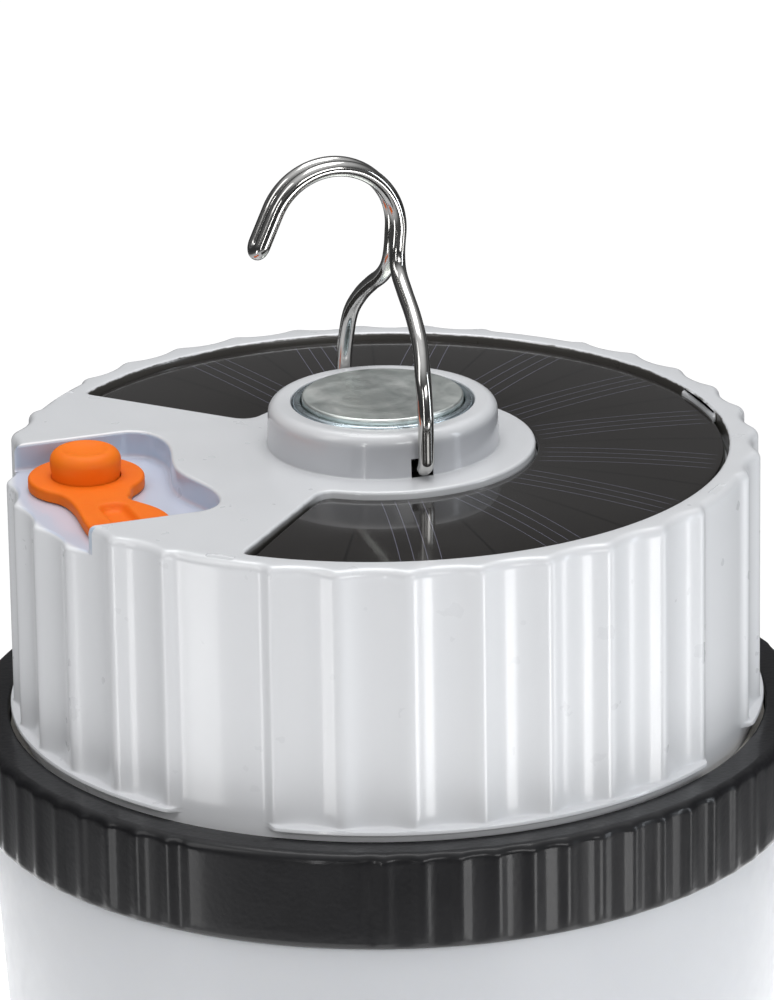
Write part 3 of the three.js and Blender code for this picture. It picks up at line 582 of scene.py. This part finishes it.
def moulded(name, low, high, roughness=0.5, grain=8.0e-6):
    """Plain moulded plastic or rubber with a fine eroded grain."""
    skin = Finish(name, IOR=1.48)
    clouds = skin.noise(120, 4, 0.6)
    skin.colour(skin.mix(clouds, low, high))
    skin.rough(clouds, roughness - 0.07, roughness + 0.07)
    skin.bump((skin.noise(1800, 3), grain))
    return skin.material


def solder_mask():
    """Green circuit board with darker tracks under the mask."""
    skin = Finish("solder_mask", IOR=1.52, Coat_Weight=0.4, Coat_Roughness=0.2)
    tracks = skin.node("TexBrick", {"Vector": skin.scaled(1, 1, 1), "Scale": 420.0, "Mortar Size": 0.06,
                                    "Color1": (0, 0, 0, 1), "Color2": (0.3, 0.3, 0.3, 1),
                                    "Mortar": (1, 1, 1, 1)}).outputs["Color"]
    skin.colour(skin.mix(tracks, (0.010, 0.085, 0.030), (0.016, 0.130, 0.050)))
    skin.rough(skin.noise(300, 2), 0.32, 0.42)
    skin.bump((tracks, 1.5e-5))
    return skin.material


def cell_sleeve():
    """The battery cells' printed shrink sleeve, with no lettering."""
    skin = Finish("cell_sleeve", IOR=1.5, Coat_Weight=0.5, Coat_Roughness=0.12)
    wrinkles = skin.noise(160, 3, 0.6, stretch=(1, 0.12, 1))
    skin.colour(skin.mix(wrinkles, (0.018, 0.125, 0.290), (0.032, 0.180, 0.370)))
    skin.rough(wrinkles, 0.22, 0.36)
    skin.bump((wrinkles, 3.0e-5))
    return skin.material


# ---- housing


def on_panel(angles):
    """1 on the four smooth panels of the wall, and 0 on the flutes."""
    from_centre = np.abs(angles % 90 - 45)
    return (from_centre < PANEL_ANGLE / 2).astype(float)


def soften(values, width):
    """Rounds the corners of a closed curve of radii by a moving average."""
    reach = np.arange(-3 * width, 3 * width + 1)
    weights = np.exp(-0.5 * (reach / width) ** 2)
    padded = np.r_[values[-3 * width:], values, values[:3 * width]]
    return np.convolve(padded, weights / weights.sum(), mode="valid")


def wall_radii(angles):
    """Shallow scallops between rounded ridges, with a flat step at each panel."""
    flute = (90 - PANEL_ANGLE) / FLUTES_PER_SIDE
    place = ((angles - 45 - PANEL_ANGLE / 2) % 90) / flute
    across = 2 * (place % 1) - 1
    scallop = RIDGE_RADIUS - FLUTE_DEPTH * (1 - np.abs(across) ** 2.2)
    panel = on_panel(angles)
    return soften(panel * PANEL_RADIUS + (1 - panel) * scallop, 3)


def housing():
    angles = np.arange(COLUMNS) * 360 / COLUMNS
    wall = wall_radii(angles)
    panel = soften(on_panel(angles), 2)
    fillet = 1.3
    shoulder = TOP - fillet

    def drafted(z):
        return wall - DRAFT * (z - FLANGE_BOTTOM) / (TOP - FLANGE_BOTTOM)

    def flange(inset):
        return panel * PANEL_RADIUS + (1 - panel) * (FLANGE_RADIUS - inset)

    rows = [
        (0, CEILING), (BORE_RADIUS - 0.8, CEILING), (BORE_RADIUS, CEILING - 0.8),
        (BORE_RADIUS, HOUSING_BOTTOM), (PANEL_RADIUS - 0.3, HOUSING_BOTTOM),
        (PANEL_RADIUS, HOUSING_BOTTOM + 0.3), (PANEL_RADIUS, FLANGE_BOTTOM - 0.05),
        (flange(0.15), FLANGE_BOTTOM), (flange(0.0), FLANGE_BOTTOM + 0.15),
        (flange(0.0), FLANGE_TOP - 0.3), (flange(0.09), FLANGE_TOP - 0.09), (flange(0.3), FLANGE_TOP),
    ]
    foot = [(0.35 + x, FLANGE_TOP + 0.35 + y) for x, y in arc(0, 0, 0.35, -90, -180, 4)]
    rows += [(drafted(FLANGE_TOP) + offset * (1 - panel), z) for offset, z in foot]
    rows += [(drafted(z), z) for z in np.linspace(FLANGE_TOP + 0.9, shoulder - 0.4, 12)]
    rows += [(drafted(z) - fillet + x, z) for x, z in arc(0, shoulder, fillet, 0, 90, 8)]
    rows += [(r, TOP) for r in (51.2, 40.0, 30.0, 20.0)]
    foot_radius, foot_fillet, rounding, lip = BOSS_RADIUS + 0.22, 0.25, 1.7, 0.25
    rows += [(foot_radius + foot_fillet + x, TOP + foot_fillet + y)
             for x, y in arc(0, 0, foot_fillet, -90, -180, 5)]
    rows += [(BOSS_RADIUS + 0.12, TOP + 2.5)]
    rows += arc(BOSS_RADIUS - rounding, BOSS_TOP - rounding, rounding, 0, 90, 10)
    rows += arc(MAGNET_SEAT_RADIUS + lip, BOSS_TOP - lip, lip, 90, 180, 4)
    rows += [(MAGNET_SEAT_RADIUS, TOP - 1.8), (0, TOP - 1.8)]
    body = grid_of_revolution("housing", rows)

    pocket = pocket_outline()
    recess = evenly(ring_sector(RECESS_INNER, RECESS_OUTER, RECESS_HALF_ANGLE, 2.6, 1.2), 0.35)
    cutters = [
        prism("recess", recess, flared_profile(RECESS_FLOOR, TOP, 0.5)),
        prism("pocket", pocket, flared_profile(POCKET_FLOOR, TOP, 0.55, floor=0.5)),
        mouth_rounding(pocket, drafted(POCKET_FLOOR)),
        prism("stem_hole", evenly(arc(SEAL_X, BUTTON_Y, 2.9, 0, 360, 48), 0.3),
              [(0, CEILING - 1), (0, TOP)]),
        prism("port_hole", rounded_box(SEAL_X, -11.5, 4.0, 9.8, 1.7, 0.25),
              [(0, CEILING - 1), (0, POCKET_FLOOR - 0.3), (0.3, POCKET_FLOOR), (0.35, TOP)]),
    ]
    for side in (-1, 1):
        hole = rounded_box(0, side * 16.3, 3.3, 4.4, 0.25, 0.12)
        cutters.append(prism("foot_hole", hole, [(0, TOP + 0.03), (0, HOOK_PIVOT + 1.33)]))
    for degrees in (-45, 135, 225):
        cutters.append(rim_mark(math.radians(degrees)))
    cut(body, *cutters)
    cut(body, panel_tab(), operation="UNION")
    return finish_piece(body, housing_plastic(), "root", ["upper_housing"])


def rim_mark(turn):
    """The cutter of a shallow notch in the rim of the top face."""
    mark = rounded_box(0, 0, 1.1, 4.2, 0.3, 0.15)
    turned = np.array([[math.cos(turn), math.sin(turn)], [-math.sin(turn), math.cos(turn)]])
    centre = 51.9 * np.array([math.cos(turn), math.sin(turn)])
    return prism("mark", mark @ turned + centre, [(0, TOP - 0.14), (0.08, TOP), (0.1, TOP + 1)])


def panel_tab():
    """The short sloping tab that holds the edge of the panel's board."""
    half = TAB_HALF_ANGLE
    inner, outer = RECESS_OUTER - 0.6, RECESS_OUTER + 0.6
    outline = arc(0, 0, outer, -half, half, 60) + arc(0, 0, inner, half, -half, 60)
    slope = [(-0.1, TOP - 1.6), (0, TOP - 1.5), (0, TOP - 0.75), (-0.15, TOP - 0.5), (-0.45, TOP - 0.22)]
    return prism("tab", evenly(outline, 0.2), slope)


def rounded_box(x, y, width, length, corner, spacing):
    """The outline of a rectangle round (x, y) with rounded corners."""
    right, top = x + width / 2 - corner, y + length / 2 - corner
    left, bottom = x - width / 2 + corner, y - length / 2 + corner
    corners = (arc(right, top, corner, 0, 90) + arc(left, top, corner, 90, 180)
               + arc(left, bottom, corner, 180, 270) + arc(right, bottom, corner, 270, 360))
    return evenly(corners, spacing)


def ring_sector(inner, outer, half_angle, inner_corner, outer_corner):
    """A C-shaped outline round the axis, open towards -X, with rounded corners."""

    def at(radius, degrees):
        return (radius * math.cos(math.radians(degrees)), radius * math.sin(math.radians(degrees)))

    def corner(radius, size, side):
        """From the round side to the straight end, as a curve with its middle at the corner."""
        turned = half_angle - math.degrees(size / radius)
        step = size if radius == inner else -size
        start, tip = at(radius, side * turned), at(radius, side * half_angle)
        end = at(radius + step, side * half_angle)
        return bezier(start, np.add(start, np.subtract(tip, start) * 0.6),
                      np.add(end, np.subtract(tip, end) * 0.6), end, 12)

    points = arc(0, 0, outer, -half_angle + 3, half_angle - 3, 240)
    points += corner(outer, outer_corner, 1)
    points += corner(inner, inner_corner, 1)[::-1]
    points += arc(0, 0, inner, half_angle - 8, -half_angle + 8, 160)
    points += corner(inner, inner_corner, -1)
    points += corner(outer, outer_corner, -1)[::-1]
    return points


def pocket_outline():
    """The seal's pocket: wavy inner wall, straight sides and a flared mouth."""
    half, bulge, waist = POCKET_HALF_LENGTH, -29.2, -31.3
    bulge_y = half - 6.5
    upper = bezier((waist, 0), (waist, 4), (bulge, bulge_y - 4), (bulge, bulge_y))
    upper += bezier((bulge, bulge_y), (bulge, half - 3), (bulge - 1.5, half), (bulge - 5, half))
    upper += bezier((-48.9, half), (-49.9, half), (-50.5, half + 0.35), (-51.0, half + 1.6), 10)
    upper += [(-51.4, half + 3.0), (-60.0, half + 3.2)]
    lower = [(x, -y) for x, y in reversed(upper)]
    return evenly(upper + lower, 0.3)


def mouth_rounding(pocket, wall):
    """The cutter that rounds the outer edge of the pocket's floor."""
    size = 0.7
    rows = [(wall + 3, POCKET_FLOOR - size)]
    rows += [(wall - size + x, POCKET_FLOOR - size + y) for x, y in arc(0, 0, size, 0, 90, 6)]
    rows += [(wall - size, POCKET_FLOOR + 0.02), (wall + 3, POCKET_FLOOR + 0.02), rows[0]]
    edge = grid_of_revolution("pocket_edge", rows)
    mouth = prism("mouth", pocket, [(0.02, POCKET_FLOOR - 1), (0.02, POCKET_FLOOR + 1)])
    cut(edge, mouth, operation="INTERSECT")
    return edge


# ---- panel, magnet, hook


def solar_panel():
    inner, outer, half = RECESS_INNER + 0.6, RECESS_OUTER - 0.5, RECESS_HALF_ANGLE - 1
    board = prism("panel_laminate", evenly(ring_sector(inner, outer, half, 2.4, 1.0), 0.4),
                  rounded_profile(RECESS_FLOOR + 0.1, RECESS_FLOOR + 1.7, 0.1, steps=2))
    finish_piece(board, laminate(), "root", ["solar_board"])
    inner, outer, half = RECESS_INNER + 0.35, RECESS_OUTER - 0.7, RECESS_HALF_ANGLE - 1.4
    bottom, edge, rounding = RECESS_FLOOR + 1.75, TOP - 1.0, 0.2
    middle, reach = (inner + outer) / 2, (outer - inner) / 2 - rounding
    # The resin crowns by a quarter of a millimetre between its rounded edges.
    dome = [(middle + reach * t, edge + 0.25 * (1 - t * t)) for t in np.linspace(1, -1, 49)]
    cells = lathe("panel_resin", [
        (inner, bottom), (outer, bottom),
        *arc(outer - rounding, edge - rounding, rounding, 0, 75, 5), *dome,
        *arc(inner + rounding, edge - rounding, rounding, 105, 180, 5),
    ], 720, closed=True)
    outline = evenly(ring_sector(inner - 0.01, outer + 0.01, half, 2.4, 1.0), 0.3)
    cut(cells, prism("cells_outline", outline, [(0, bottom - 1), (0, TOP)]), operation="INTERSECT")
    finish_piece(cells, panel_resin(), "root", ["solar_cells"])

    tab = prism("solder_tab", rounded_box(0, 0, 3.8, 0.9, 0.25, 0.1),
                rounded_profile(-0.3, 0.12, 0.08))
    place = Matrix.Translation((-12.6 * MM, 23.1 * MM, (TOP - 1.07) * MM))
    tab.matrix_world = place @ Matrix.Rotation(math.radians(28), 4, "Z")
    tin = plated_steel("tinned_copper", (0.55, 0.54, 0.50), (0.72, 0.70, 0.66), (0.25, 0.4))
    finish_piece(tab, tin, "root", None)


def magnet():
    floor = TOP - 1.5
    rim = BOSS_TOP + 0.1
    rounding, bore = 0.45, MAGNET_RADIUS - 1.05
    cup = lathe("magnet_shell", [
        (0, floor), (MAGNET_RADIUS - 0.3, floor), (MAGNET_RADIUS, floor + 0.3),
        *arc(MAGNET_RADIUS - rounding, rim - rounding, rounding, 0, 90, 6),
        *arc(bore + 0.35, rim - 0.35, 0.35, 90, 180, 6),
        (bore, floor + 1.2), (0, floor + 1.2),
    ])
    steel = plated_steel("zinc_plating", (0.42, 0.50, 0.54), (0.66, 0.74, 0.78), (0.2, 0.34))
    finish_piece(cup, steel, "root", ["magnet_cup"])
    top = height("magnet_disc", 1)
    bottom = height("magnet_disc", 0)
    disc = lathe("magnet_face", [
        (0, bottom), (DISC_RADIUS - 0.2, bottom), (DISC_RADIUS, bottom + 0.2),
        *arc(DISC_RADIUS - 0.35, top - 0.35, 0.35, 0, 90, 6),
        (6, top), (0, top),
    ])
    steel = plated_steel("disc_plating", (0.66, 0.72, 0.69), (0.86, 0.88, 0.85), (0.30, 0.44), 1.0e-6)
    finish_piece(disc, steel, "root", ["magnet_disc"])


def hook_half(leg_points):
    """Half of the upright wire's centre line on the +Y side, from the pivot's height."""
    spacing, radius, stem_top, bend, leg_y = 1.22, 9.6, 30.2, 1.3, 18.0
    foot = [(0, y, 0) for y in np.linspace(14.8, leg_y - bend, 8)]
    knee = [(0, leg_y - bend + y, bend + z) for y, z in arc(0, 0, bend, -90, 0, 10)]
    leg = through([(0, leg_y, bend), *leg_points, (0, spacing, 27), (0, spacing, stem_top)])
    hook = [(x, spacing, z) for x, z in arc(-radius, stem_top, radius, 0, 160, 70)]
    angle = math.radians(160)
    heading = np.array([-math.sin(angle), 0, math.cos(angle)])
    straight = [tuple(np.array(hook[-1]) + d * heading) for d in np.linspace(0.5, 4.7, 8)]
    return [*foot, *knee[1:], *leg[1:], *hook[1:], *straight], heading


def hook_path():
    """The doubled wire's centre line, upright. Its two legs differ a little."""
    rear, heading = hook_half([(0.05, 17.8, 8.5), (0, 16.3, 13), (0.1, 13, 16.6), (0.2, 9, 19.5),
                               (0.3, 5, 22), (0.1, 2.2, 24.5)])
    front, heading = hook_half([(-0.55, 17.8, 8.5), (-0.65, 16.3, 13), (-0.15, 13, 16.8), (0.1, 9, 19.8),
                                (0.1, 5, 22.3), (0, 2.2, 24.6)])
    spacing = rear[-1][1]
    middle = np.array([rear[-1][0], 0, rear[-1][2]]) + 0.3 * heading
    turn = [tuple(middle + spacing * (math.cos(a) * np.array([0, 1, 0]) + math.sin(a) * heading))
            for a in np.linspace(0, math.pi, 17)]
    return np.array([*rear, *turn, *[(x, -y, z) for x, y, z in reversed(front)]])


def through(knots):
    """A smooth curve through the knots, with centripetal spacing and 12 points to a span."""
    knots = [np.array(k, float) for k in knots]
    knots = [2 * knots[0] - knots[1], *knots, 2 * knots[-1] - knots[-2]]
    points = []
    for a, b, c, d in zip(knots, knots[1:], knots[2:], knots[3:]):
        times = np.cumsum([0, *[np.linalg.norm(q - p) ** 0.5 for p, q in ((a, b), (b, c), (c, d))]])
        for t in np.linspace(times[1], times[2], 12, endpoint=False):
            p = [p0 + (p1 - p0) * (t - t0) / (t1 - t0) for p0, p1, t0, t1 in
                 zip((a, b, c), (b, c, d), times, times[1:])]
            q = [p[i] + (p[i + 1] - p[i]) * (t - times[i]) / (times[i + 2] - times[i]) for i in (0, 1)]
            points.append(tuple(q[0] + (q[1] - q[0]) * (t - times[1]) / (times[2] - times[1])))
    points.append(tuple(knots[-2]))
    return points


def hook():
    """The wire, leaning a little towards +X as in the frame."""
    path = hook_path()
    lean = math.radians(4.5)
    x = path[:, 0] * math.cos(lean) + path[:, 2] * math.sin(lean)
    z = path[:, 2] * math.cos(lean) - path[:, 0] * math.sin(lean) + HOOK_PIVOT
    wire = sweep("hook_wire", np.column_stack([x, path[:, 1], z]), WIRE_RADIUS, 32)
    finish_piece(wire, chrome(), "hook", ["hanging_hook"], angle=60)


# ---- seal, button


def seal_outline():
    """The silicone seal seen from above: a disc, a neck and a longer lobe."""
    x, left, right, neck, disc_radius = SEAL_X, SEAL_X - 6, SEAL_X + 6, SEAL_X - 5.25, 8.35
    disc = arc(x, BUTTON_Y, disc_radius, -52, 218, 90)
    curves = [
        (disc[-1], (neck - 0.1, 1.1), (neck, -1), (neck, HINGE_Y)),
        ((neck, HINGE_Y), (neck, -6), (left, -9), (left, -12.7)),
        ((left, -12.7), (left, -16.5), (x - 3.8, -17.6), (x, -17.6)),
        ((x, -17.6), (x + 3.8, -17.6), (right, -16.5), (right, -12.7)),
        ((right, -12.7), (right, -9), (x + 4.6, -7.2), (x + 3.1, -4.4)),
        ((x + 3.1, -4.4), (x + 2.7, -3.6), (x + 2.9, -2.8), (x + 3.5, -1.9)),
        ((x + 3.5, -1.9), (x + 4, -1), (x + 4.5, 0.7), disc[0]),
    ]
    return disc + [point for curve in curves for point in bezier(*curve)[1:]]


def seal():
    """One moulding: the base, the living hinge and the port cover."""
    body = prism("silicone_seal", evenly(seal_outline(), 0.3),
                 rounded_profile(SEAL_BOTTOM, SEAL_TOP, 0.45, low_radius=0.2))
    bore = prism("bore", evenly(arc(SEAL_X, BUTTON_Y, 5.0, 0, 360, 96), 0.25),
                 [(0, SEAL_BOTTOM - 1), (0, SEAL_TOP - 0.12), (0.04, SEAL_TOP - 0.03), (0.12, SEAL_TOP),
                  (0.14, SEAL_TOP + 1)])
    groove = prism("groove", rounded_box(SEAL_X - 0.4, -10.3, 3.0, 10.0, 1.45, 0.25),
                   [(-0.9, SEAL_TOP - 1.15), (-0.3, SEAL_TOP - 1.08), (0.05, SEAL_TOP - 0.86),
                    (0.28, SEAL_TOP - 0.52), (0.48, SEAL_TOP - 0.2), (0.68, SEAL_TOP - 0.05),
                    (0.95, SEAL_TOP + 0.01)])
    cut(body, bore, groove)
    plug = prism("plug", rounded_box(SEAL_X, -11.5, 3.1, 8.8, 1.3, 0.25),
                 [(-0.2, POCKET_FLOOR - 0.4), (0, POCKET_FLOOR - 0.2), (0, SEAL_BOTTOM + 0.3)])
    cut(body, plug, operation="UNION")
    across_hinge(body)
    rubber = silicone("orange_silicone", (0.80, 0.140, 0.002), (0.85, 0.172, 0.004))
    finish_piece(body, rubber, None, ["seal_base", "port_cover"])
    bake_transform(body)

    stem_bottom = height("power_button", 0)
    dish = [(3.4, BUTTON_TOP), (3.1, BUTTON_TOP - 0.08), (2.6, BUTTON_TOP - 0.26), (1.8, BUTTON_TOP - 0.42),
            (0.9, BUTTON_TOP - 0.49), (0, BUTTON_TOP - 0.5)]
    rounding = 1.75
    knob = lathe("button_knob", [
        (0, stem_bottom), (STEM_RADIUS - 0.1, stem_bottom), (STEM_RADIUS, stem_bottom + 0.1),
        (STEM_RADIUS, POCKET_FLOOR + 0.75), (KNOB_RADIUS - 0.28, POCKET_FLOOR + 0.75),
        (KNOB_RADIUS - 0.2, POCKET_FLOOR + 0.85), (KNOB_RADIUS - 0.18, SEAL_TOP + 0.5),
        (KNOB_RADIUS - 0.1, SEAL_TOP + 0.95), (KNOB_RADIUS - 0.03, SEAL_TOP + 1.4),
        *arc(KNOB_RADIUS - rounding, BUTTON_TOP - rounding, rounding, 0, 82, 14), *dish,
    ], 128, centre=(SEAL_X - 0.05, BUTTON_Y))
    # Painted light: the knob's orange is lighter than the seal's, to offset the shade on its sides.
    rubber = silicone("orange_knob_lightened", (0.84, 0.160, 0.002), (0.89, 0.195, 0.004))
    finish_piece(knob, rubber, "button", ["power_button"], angle=50)


def across_hinge(body):
    """Adds rows of vertices across the hinge."""
    bm = bmesh.new()
    bm.from_mesh(body.data)
    for y in np.linspace(HINGE_Y - 1.2, HINGE_Y + 1.2, 13):
        parts = bm.verts[:] + bm.edges[:] + bm.faces[:]
        bmesh.ops.bisect_plane(bm, geom=parts, dist=1e-7, plane_co=(0, y * MM, 0), plane_no=(0, 1, 0))
    bmesh.ops.triangulate(bm, faces=[f for f in bm.faces if len(f.verts) > 4])
    bm.to_mesh(body.data)
    bm.free()


# ---- collar, diffuser


def collar_radii(angles):
    """Fine upright ribs, with a smooth grained land in the middle of each side."""
    pitch = 5.0
    place = np.abs((angles + pitch / 2) % pitch - pitch / 2) / (pitch / 2)
    rib = 0.5 + 0.5 * np.cos(np.pi * np.clip(place / 0.62, 0, 1))
    land = (np.abs((angles - 55 + 45) % 90 - 45) < 12.5).astype(float)
    return soften((1 - land) * rib * RIB_HEIGHT + land * 0.30, 2)


def collar():
    """The black ring round the housing's foot, with a web inside and the diffuser's groove below."""
    angles = np.arange(COLUMNS) * 360 / COLUMNS
    ribs = collar_radii(angles)
    base = COLLAR_RADIUS - RIB_HEIGHT
    web_top, web_bottom = TOP - 43.4, TOP - 45.9
    opening, bore, skirt, groove = 38.0, 55.1, 58.3, 58.9
    rows = [
        (opening, web_top), (opening, web_bottom), (skirt, web_bottom), (skirt, SNAP_HEIGHT + 0.9),
        (groove, SNAP_HEIGHT + 0.5), (groove, SNAP_HEIGHT - 0.5), (skirt, SNAP_HEIGHT - 0.9),
        (skirt, COLLAR_BOTTOM + 0.2), (skirt + 0.2, COLLAR_BOTTOM), (base - 0.5, COLLAR_BOTTOM),
    ]
    rows += [(base - 0.5 + x + ribs * t, COLLAR_BOTTOM + 0.5 + y)
             for (x, y), t in zip(arc(0, 0, 0.5, -80, 0, 5), np.linspace(0, 0.6, 6))]
    rows += [(base + ribs, z) for z in np.linspace(COLLAR_BOTTOM + 1.1, COLLAR_TOP - 1.7, 8)]
    edge = 1.25
    rows += [(base - edge + x + ribs * (1 - t), COLLAR_TOP - edge + y)
             for (x, y), t in zip(arc(0, 0, edge, 0, 90, 9), np.linspace(0.05, 1, 10))]
    rows += [(57.0, COLLAR_TOP), (bore + 0.4, COLLAR_TOP)]
    rows += [(bore + 0.4 + x, COLLAR_TOP - 0.4 + y) for x, y in arc(0, 0, 0.4, 110, 180, 4)]
    rows += [(bore, web_top), (opening, web_top)]
    ring = grid_of_revolution("collar_ring", rows)
    finish_piece(ring, collar_plastic(), "root", ["collar"])


def diffuser():
    """The milky cup, with a bead round its neck that clips into the collar."""
    neck, waist, corner, wall = 57.9, 56.4, 17.0, 1.8
    rim = TOP - 47.0
    foot = waist - corner
    cup = lathe("diffuser_cup", [
        (0, 0), (foot - 3, 0),
        *arc(foot, corner, corner, -90, 0, 28),
        (neck + 0.4, COLLAR_BOTTOM - 3.2), (neck + 0.5, COLLAR_BOTTOM - 1.2),
        *arc(neck + 0.1, COLLAR_BOTTOM - 0.8, 0.4, 0, 90, 5),
        (neck, COLLAR_BOTTOM - 0.4), (neck, SNAP_HEIGHT - 0.7), (neck + 0.6, SNAP_HEIGHT),
        (neck, SNAP_HEIGHT + 0.7), (neck, rim - 0.3), (neck - 0.3, rim), (neck - wall + 0.3, rim),
        (neck - wall, rim - 0.3), (neck - wall, COLLAR_BOTTOM - 3),
        *arc(foot, corner, corner - wall, 0, -90, 24),
        (0, wall),
    ], 256)
    finish_piece(cup, milky_plastic(), "root", ["diffuser"])


# ---- inner parts


def inner_materials():
    """Materials for the CAD nodes that stay, by the record's material slot."""
    steel = plated_steel("screw_plating", (0.42, 0.43, 0.44), (0.60, 0.61, 0.62), (0.28, 0.4))
    nickel = plated_steel("nickel", (0.55, 0.54, 0.52), (0.70, 0.69, 0.66), (0.22, 0.34))
    black = moulded("black_moulding", (0.012, 0.012, 0.013), (0.022, 0.022, 0.023))
    return {
        "circuit": solder_mask(),
        "socket": nickel,
        "switch": black,
        "coil": moulded("ferrite", (0.045, 0.042, 0.040), (0.075, 0.070, 0.066), 0.6, 2.0e-5),
        "screw": steel,
        "battery": cell_sleeve(),
        "cell_link": nickel,
        "tray": moulded("tray_plastic", (0.020, 0.021, 0.023), (0.034, 0.035, 0.038), 0.55),
        "gasket": moulded("gasket_rubber", (0.44, 0.42, 0.38), (0.52, 0.50, 0.46), 0.65),
        "led_plate": plated_steel("rolled_aluminium", (0.62, 0.64, 0.65), (0.76, 0.77, 0.78), (0.3, 0.44)),
        "led_board": moulded("white_mask", (0.76, 0.76, 0.74), (0.83, 0.83, 0.81), 0.35, 3.0e-6),
        "led": moulded("phosphor", (0.78, 0.60, 0.20), (0.88, 0.72, 0.30), 0.3, 3.0e-6),
        "lead_red": moulded("red_lead", (0.42, 0.020, 0.012), (0.52, 0.030, 0.020), 0.45),
        "lead_black": black,
    }


def dress_inner_parts():
    finishes = inner_materials()
    slots = {row["node"]: row["material_slot"] for row in frame["record"]["subparts"]}
    for name, obj in frame["nodes"].items():
        finish = finishes.get(slots[name])
        if finish is not None:
            obj.data.materials.clear()
            obj.data.materials.append(finish)


# ---- stage, light


def camera():
    """Looks down on the housing from the front left, with a slight roll."""
    turn, elevation, roll = math.radians(19.3), math.radians(19.8), math.radians(-0.89)
    distance = 913.5
    forward = Vector((0, math.cos(elevation), -math.sin(elevation)))
    right = Vector((1, 0, 0))
    up = right.cross(forward)
    rolled_right = right * math.cos(roll) + up * math.sin(roll)
    rolled_up = up * math.cos(roll) - right * math.sin(roll)
    place = Vector((0.41, 0, TOP - 9.03)) - forward * distance
    basis = Matrix((rolled_right, rolled_up, -forward)).transposed().to_4x4()
    data = bpy.data.cameras.new("camera")
    data.sensor_width = 36
    data.lens = 228.07
    data.clip_start = 0.05
    obj = add_object("camera", data)
    around = Matrix.Rotation(-turn, 4, "Z")
    obj.matrix_world = around @ Matrix.Translation(place * MM) @ basis
    bpy.context.scene.camera = obj


def softbox(name, azimuth, elevation, distance, width, length, power, tint=(1, 1, 1)):
    """An area light that looks at the lantern. Azimuth 0 is in front, at -Y."""
    a, e = math.radians(azimuth), math.radians(elevation)
    aim = Vector((0, 0, 0.08))
    away = Vector((math.sin(a) * math.cos(e), -math.cos(a) * math.cos(e), math.sin(e)))
    data = bpy.data.lights.new(name, "AREA")
    data.shape = "RECTANGLE"
    data.size, data.size_y = width, length
    data.energy = power
    data.color = tint
    obj = add_object(name, data)
    obj.location = aim + away * distance
    obj.rotation_mode = "QUATERNION"
    obj.rotation_quaternion = (-away).to_track_quat("-Z", "Y")


def studio_world():
    """White behind the lantern, and soft bands of light and dark for everything else."""
    world = bpy.data.worlds.new("studio")
    bpy.context.scene.world = world
    world.use_nodes = True
    sky = Nodes(world.node_tree)
    split = sky.node("SeparateXYZ", {"Vector": sky.node("TexCoord").outputs["Generated"]})
    x, y, z = (split.outputs[axis] for axis in "XYZ")

    bands = [(-1.0, 0.8), (-0.50, 0.6), (-0.36, 0.10), (-0.06, 0.05), (0.10, 0.06), (0.26, 0.17),
             (0.33, 0.13), (0.42, 0.06), (0.58, 0.22), (1.0, 1.1)]
    share = sky.node("MapRange", {"Value": z, "From Min": -1.0}).outputs["Result"]
    ramp = sky.node("ValToRGB", {"Fac": share})
    for i, (up, level) in enumerate(bands):
        stops = ramp.color_ramp.elements
        stop = stops[i] if i < 2 else stops.new((up + 1) / 2)
        stop.position = (up + 1) / 2
        stop.color = (0.97 * level, 0.98 * level, level, 1)

    # Three bright strips of the table, low down, which the upright ridges mirror.
    azimuth = sky.math("DEGREES", sky.math("ARCTAN2", y, x))
    low = sky.math("COMPARE", z, -0.33, 0.13)
    strips = 0.0
    for degrees, width, level in ((-168, 6.0, 4.0), (-64, 8.0, 6.5), (-22, 5.0, 3.5)):
        strip = sky.math("COMPARE", azimuth, degrees, width)
        strips = sky.math("ADD", strips, sky.product(strip, level))
    lit = sky.mix(1.0, ramp.outputs["Color"], sky.product(strips, low), blend="ADD")

    seen = sky.node("LightPath").outputs["Is Camera Ray"]
    background = sky.tree.nodes["Background"]
    sky.feed(background.inputs["Color"], sky.mix(seen, lit, (1.05, 1.05, 1.05)))
    background.inputs["Strength"].default_value = 1.0


def stage():
    studio_world()
    softbox("key", -80, 38, 1.3, 0.4, 0.9, 2.6)
    softbox("front", 8, 22, 1.5, 0.7, 0.3, 4.2)
    softbox("strip", -38, 6, 1.3, 0.06, 0.8, 1.5)
    softbox("right", 58, 10, 1.3, 0.14, 0.9, 3.0, (0.88, 0.94, 1.0))
    softbox("overhead", 160, 78, 1.2, 0.8, 0.8, 7.5)

    floor = lathe("floor", [(0, 0), (40, 0), (90, 0), (140, 0)], 256)
    paper = Finish("paper", Roughness=0.9, Emission_Color=(1, 1, 1, 1), Emission_Strength=1.15)
    paper.colour(paper.mix(paper.noise(6, 2), (0.90, 0.90, 0.90), (0.92, 0.92, 0.92)))
    floor.data.materials.append(paper.material)
    floor.location.z = -0.0002
    bpy.context.scene.view_settings.view_transform = "Standard"


# ---- main

camera()
housing()
solar_panel()
magnet()
hook()
seal()
collar()
diffuser()
dress_inner_parts()
stage()
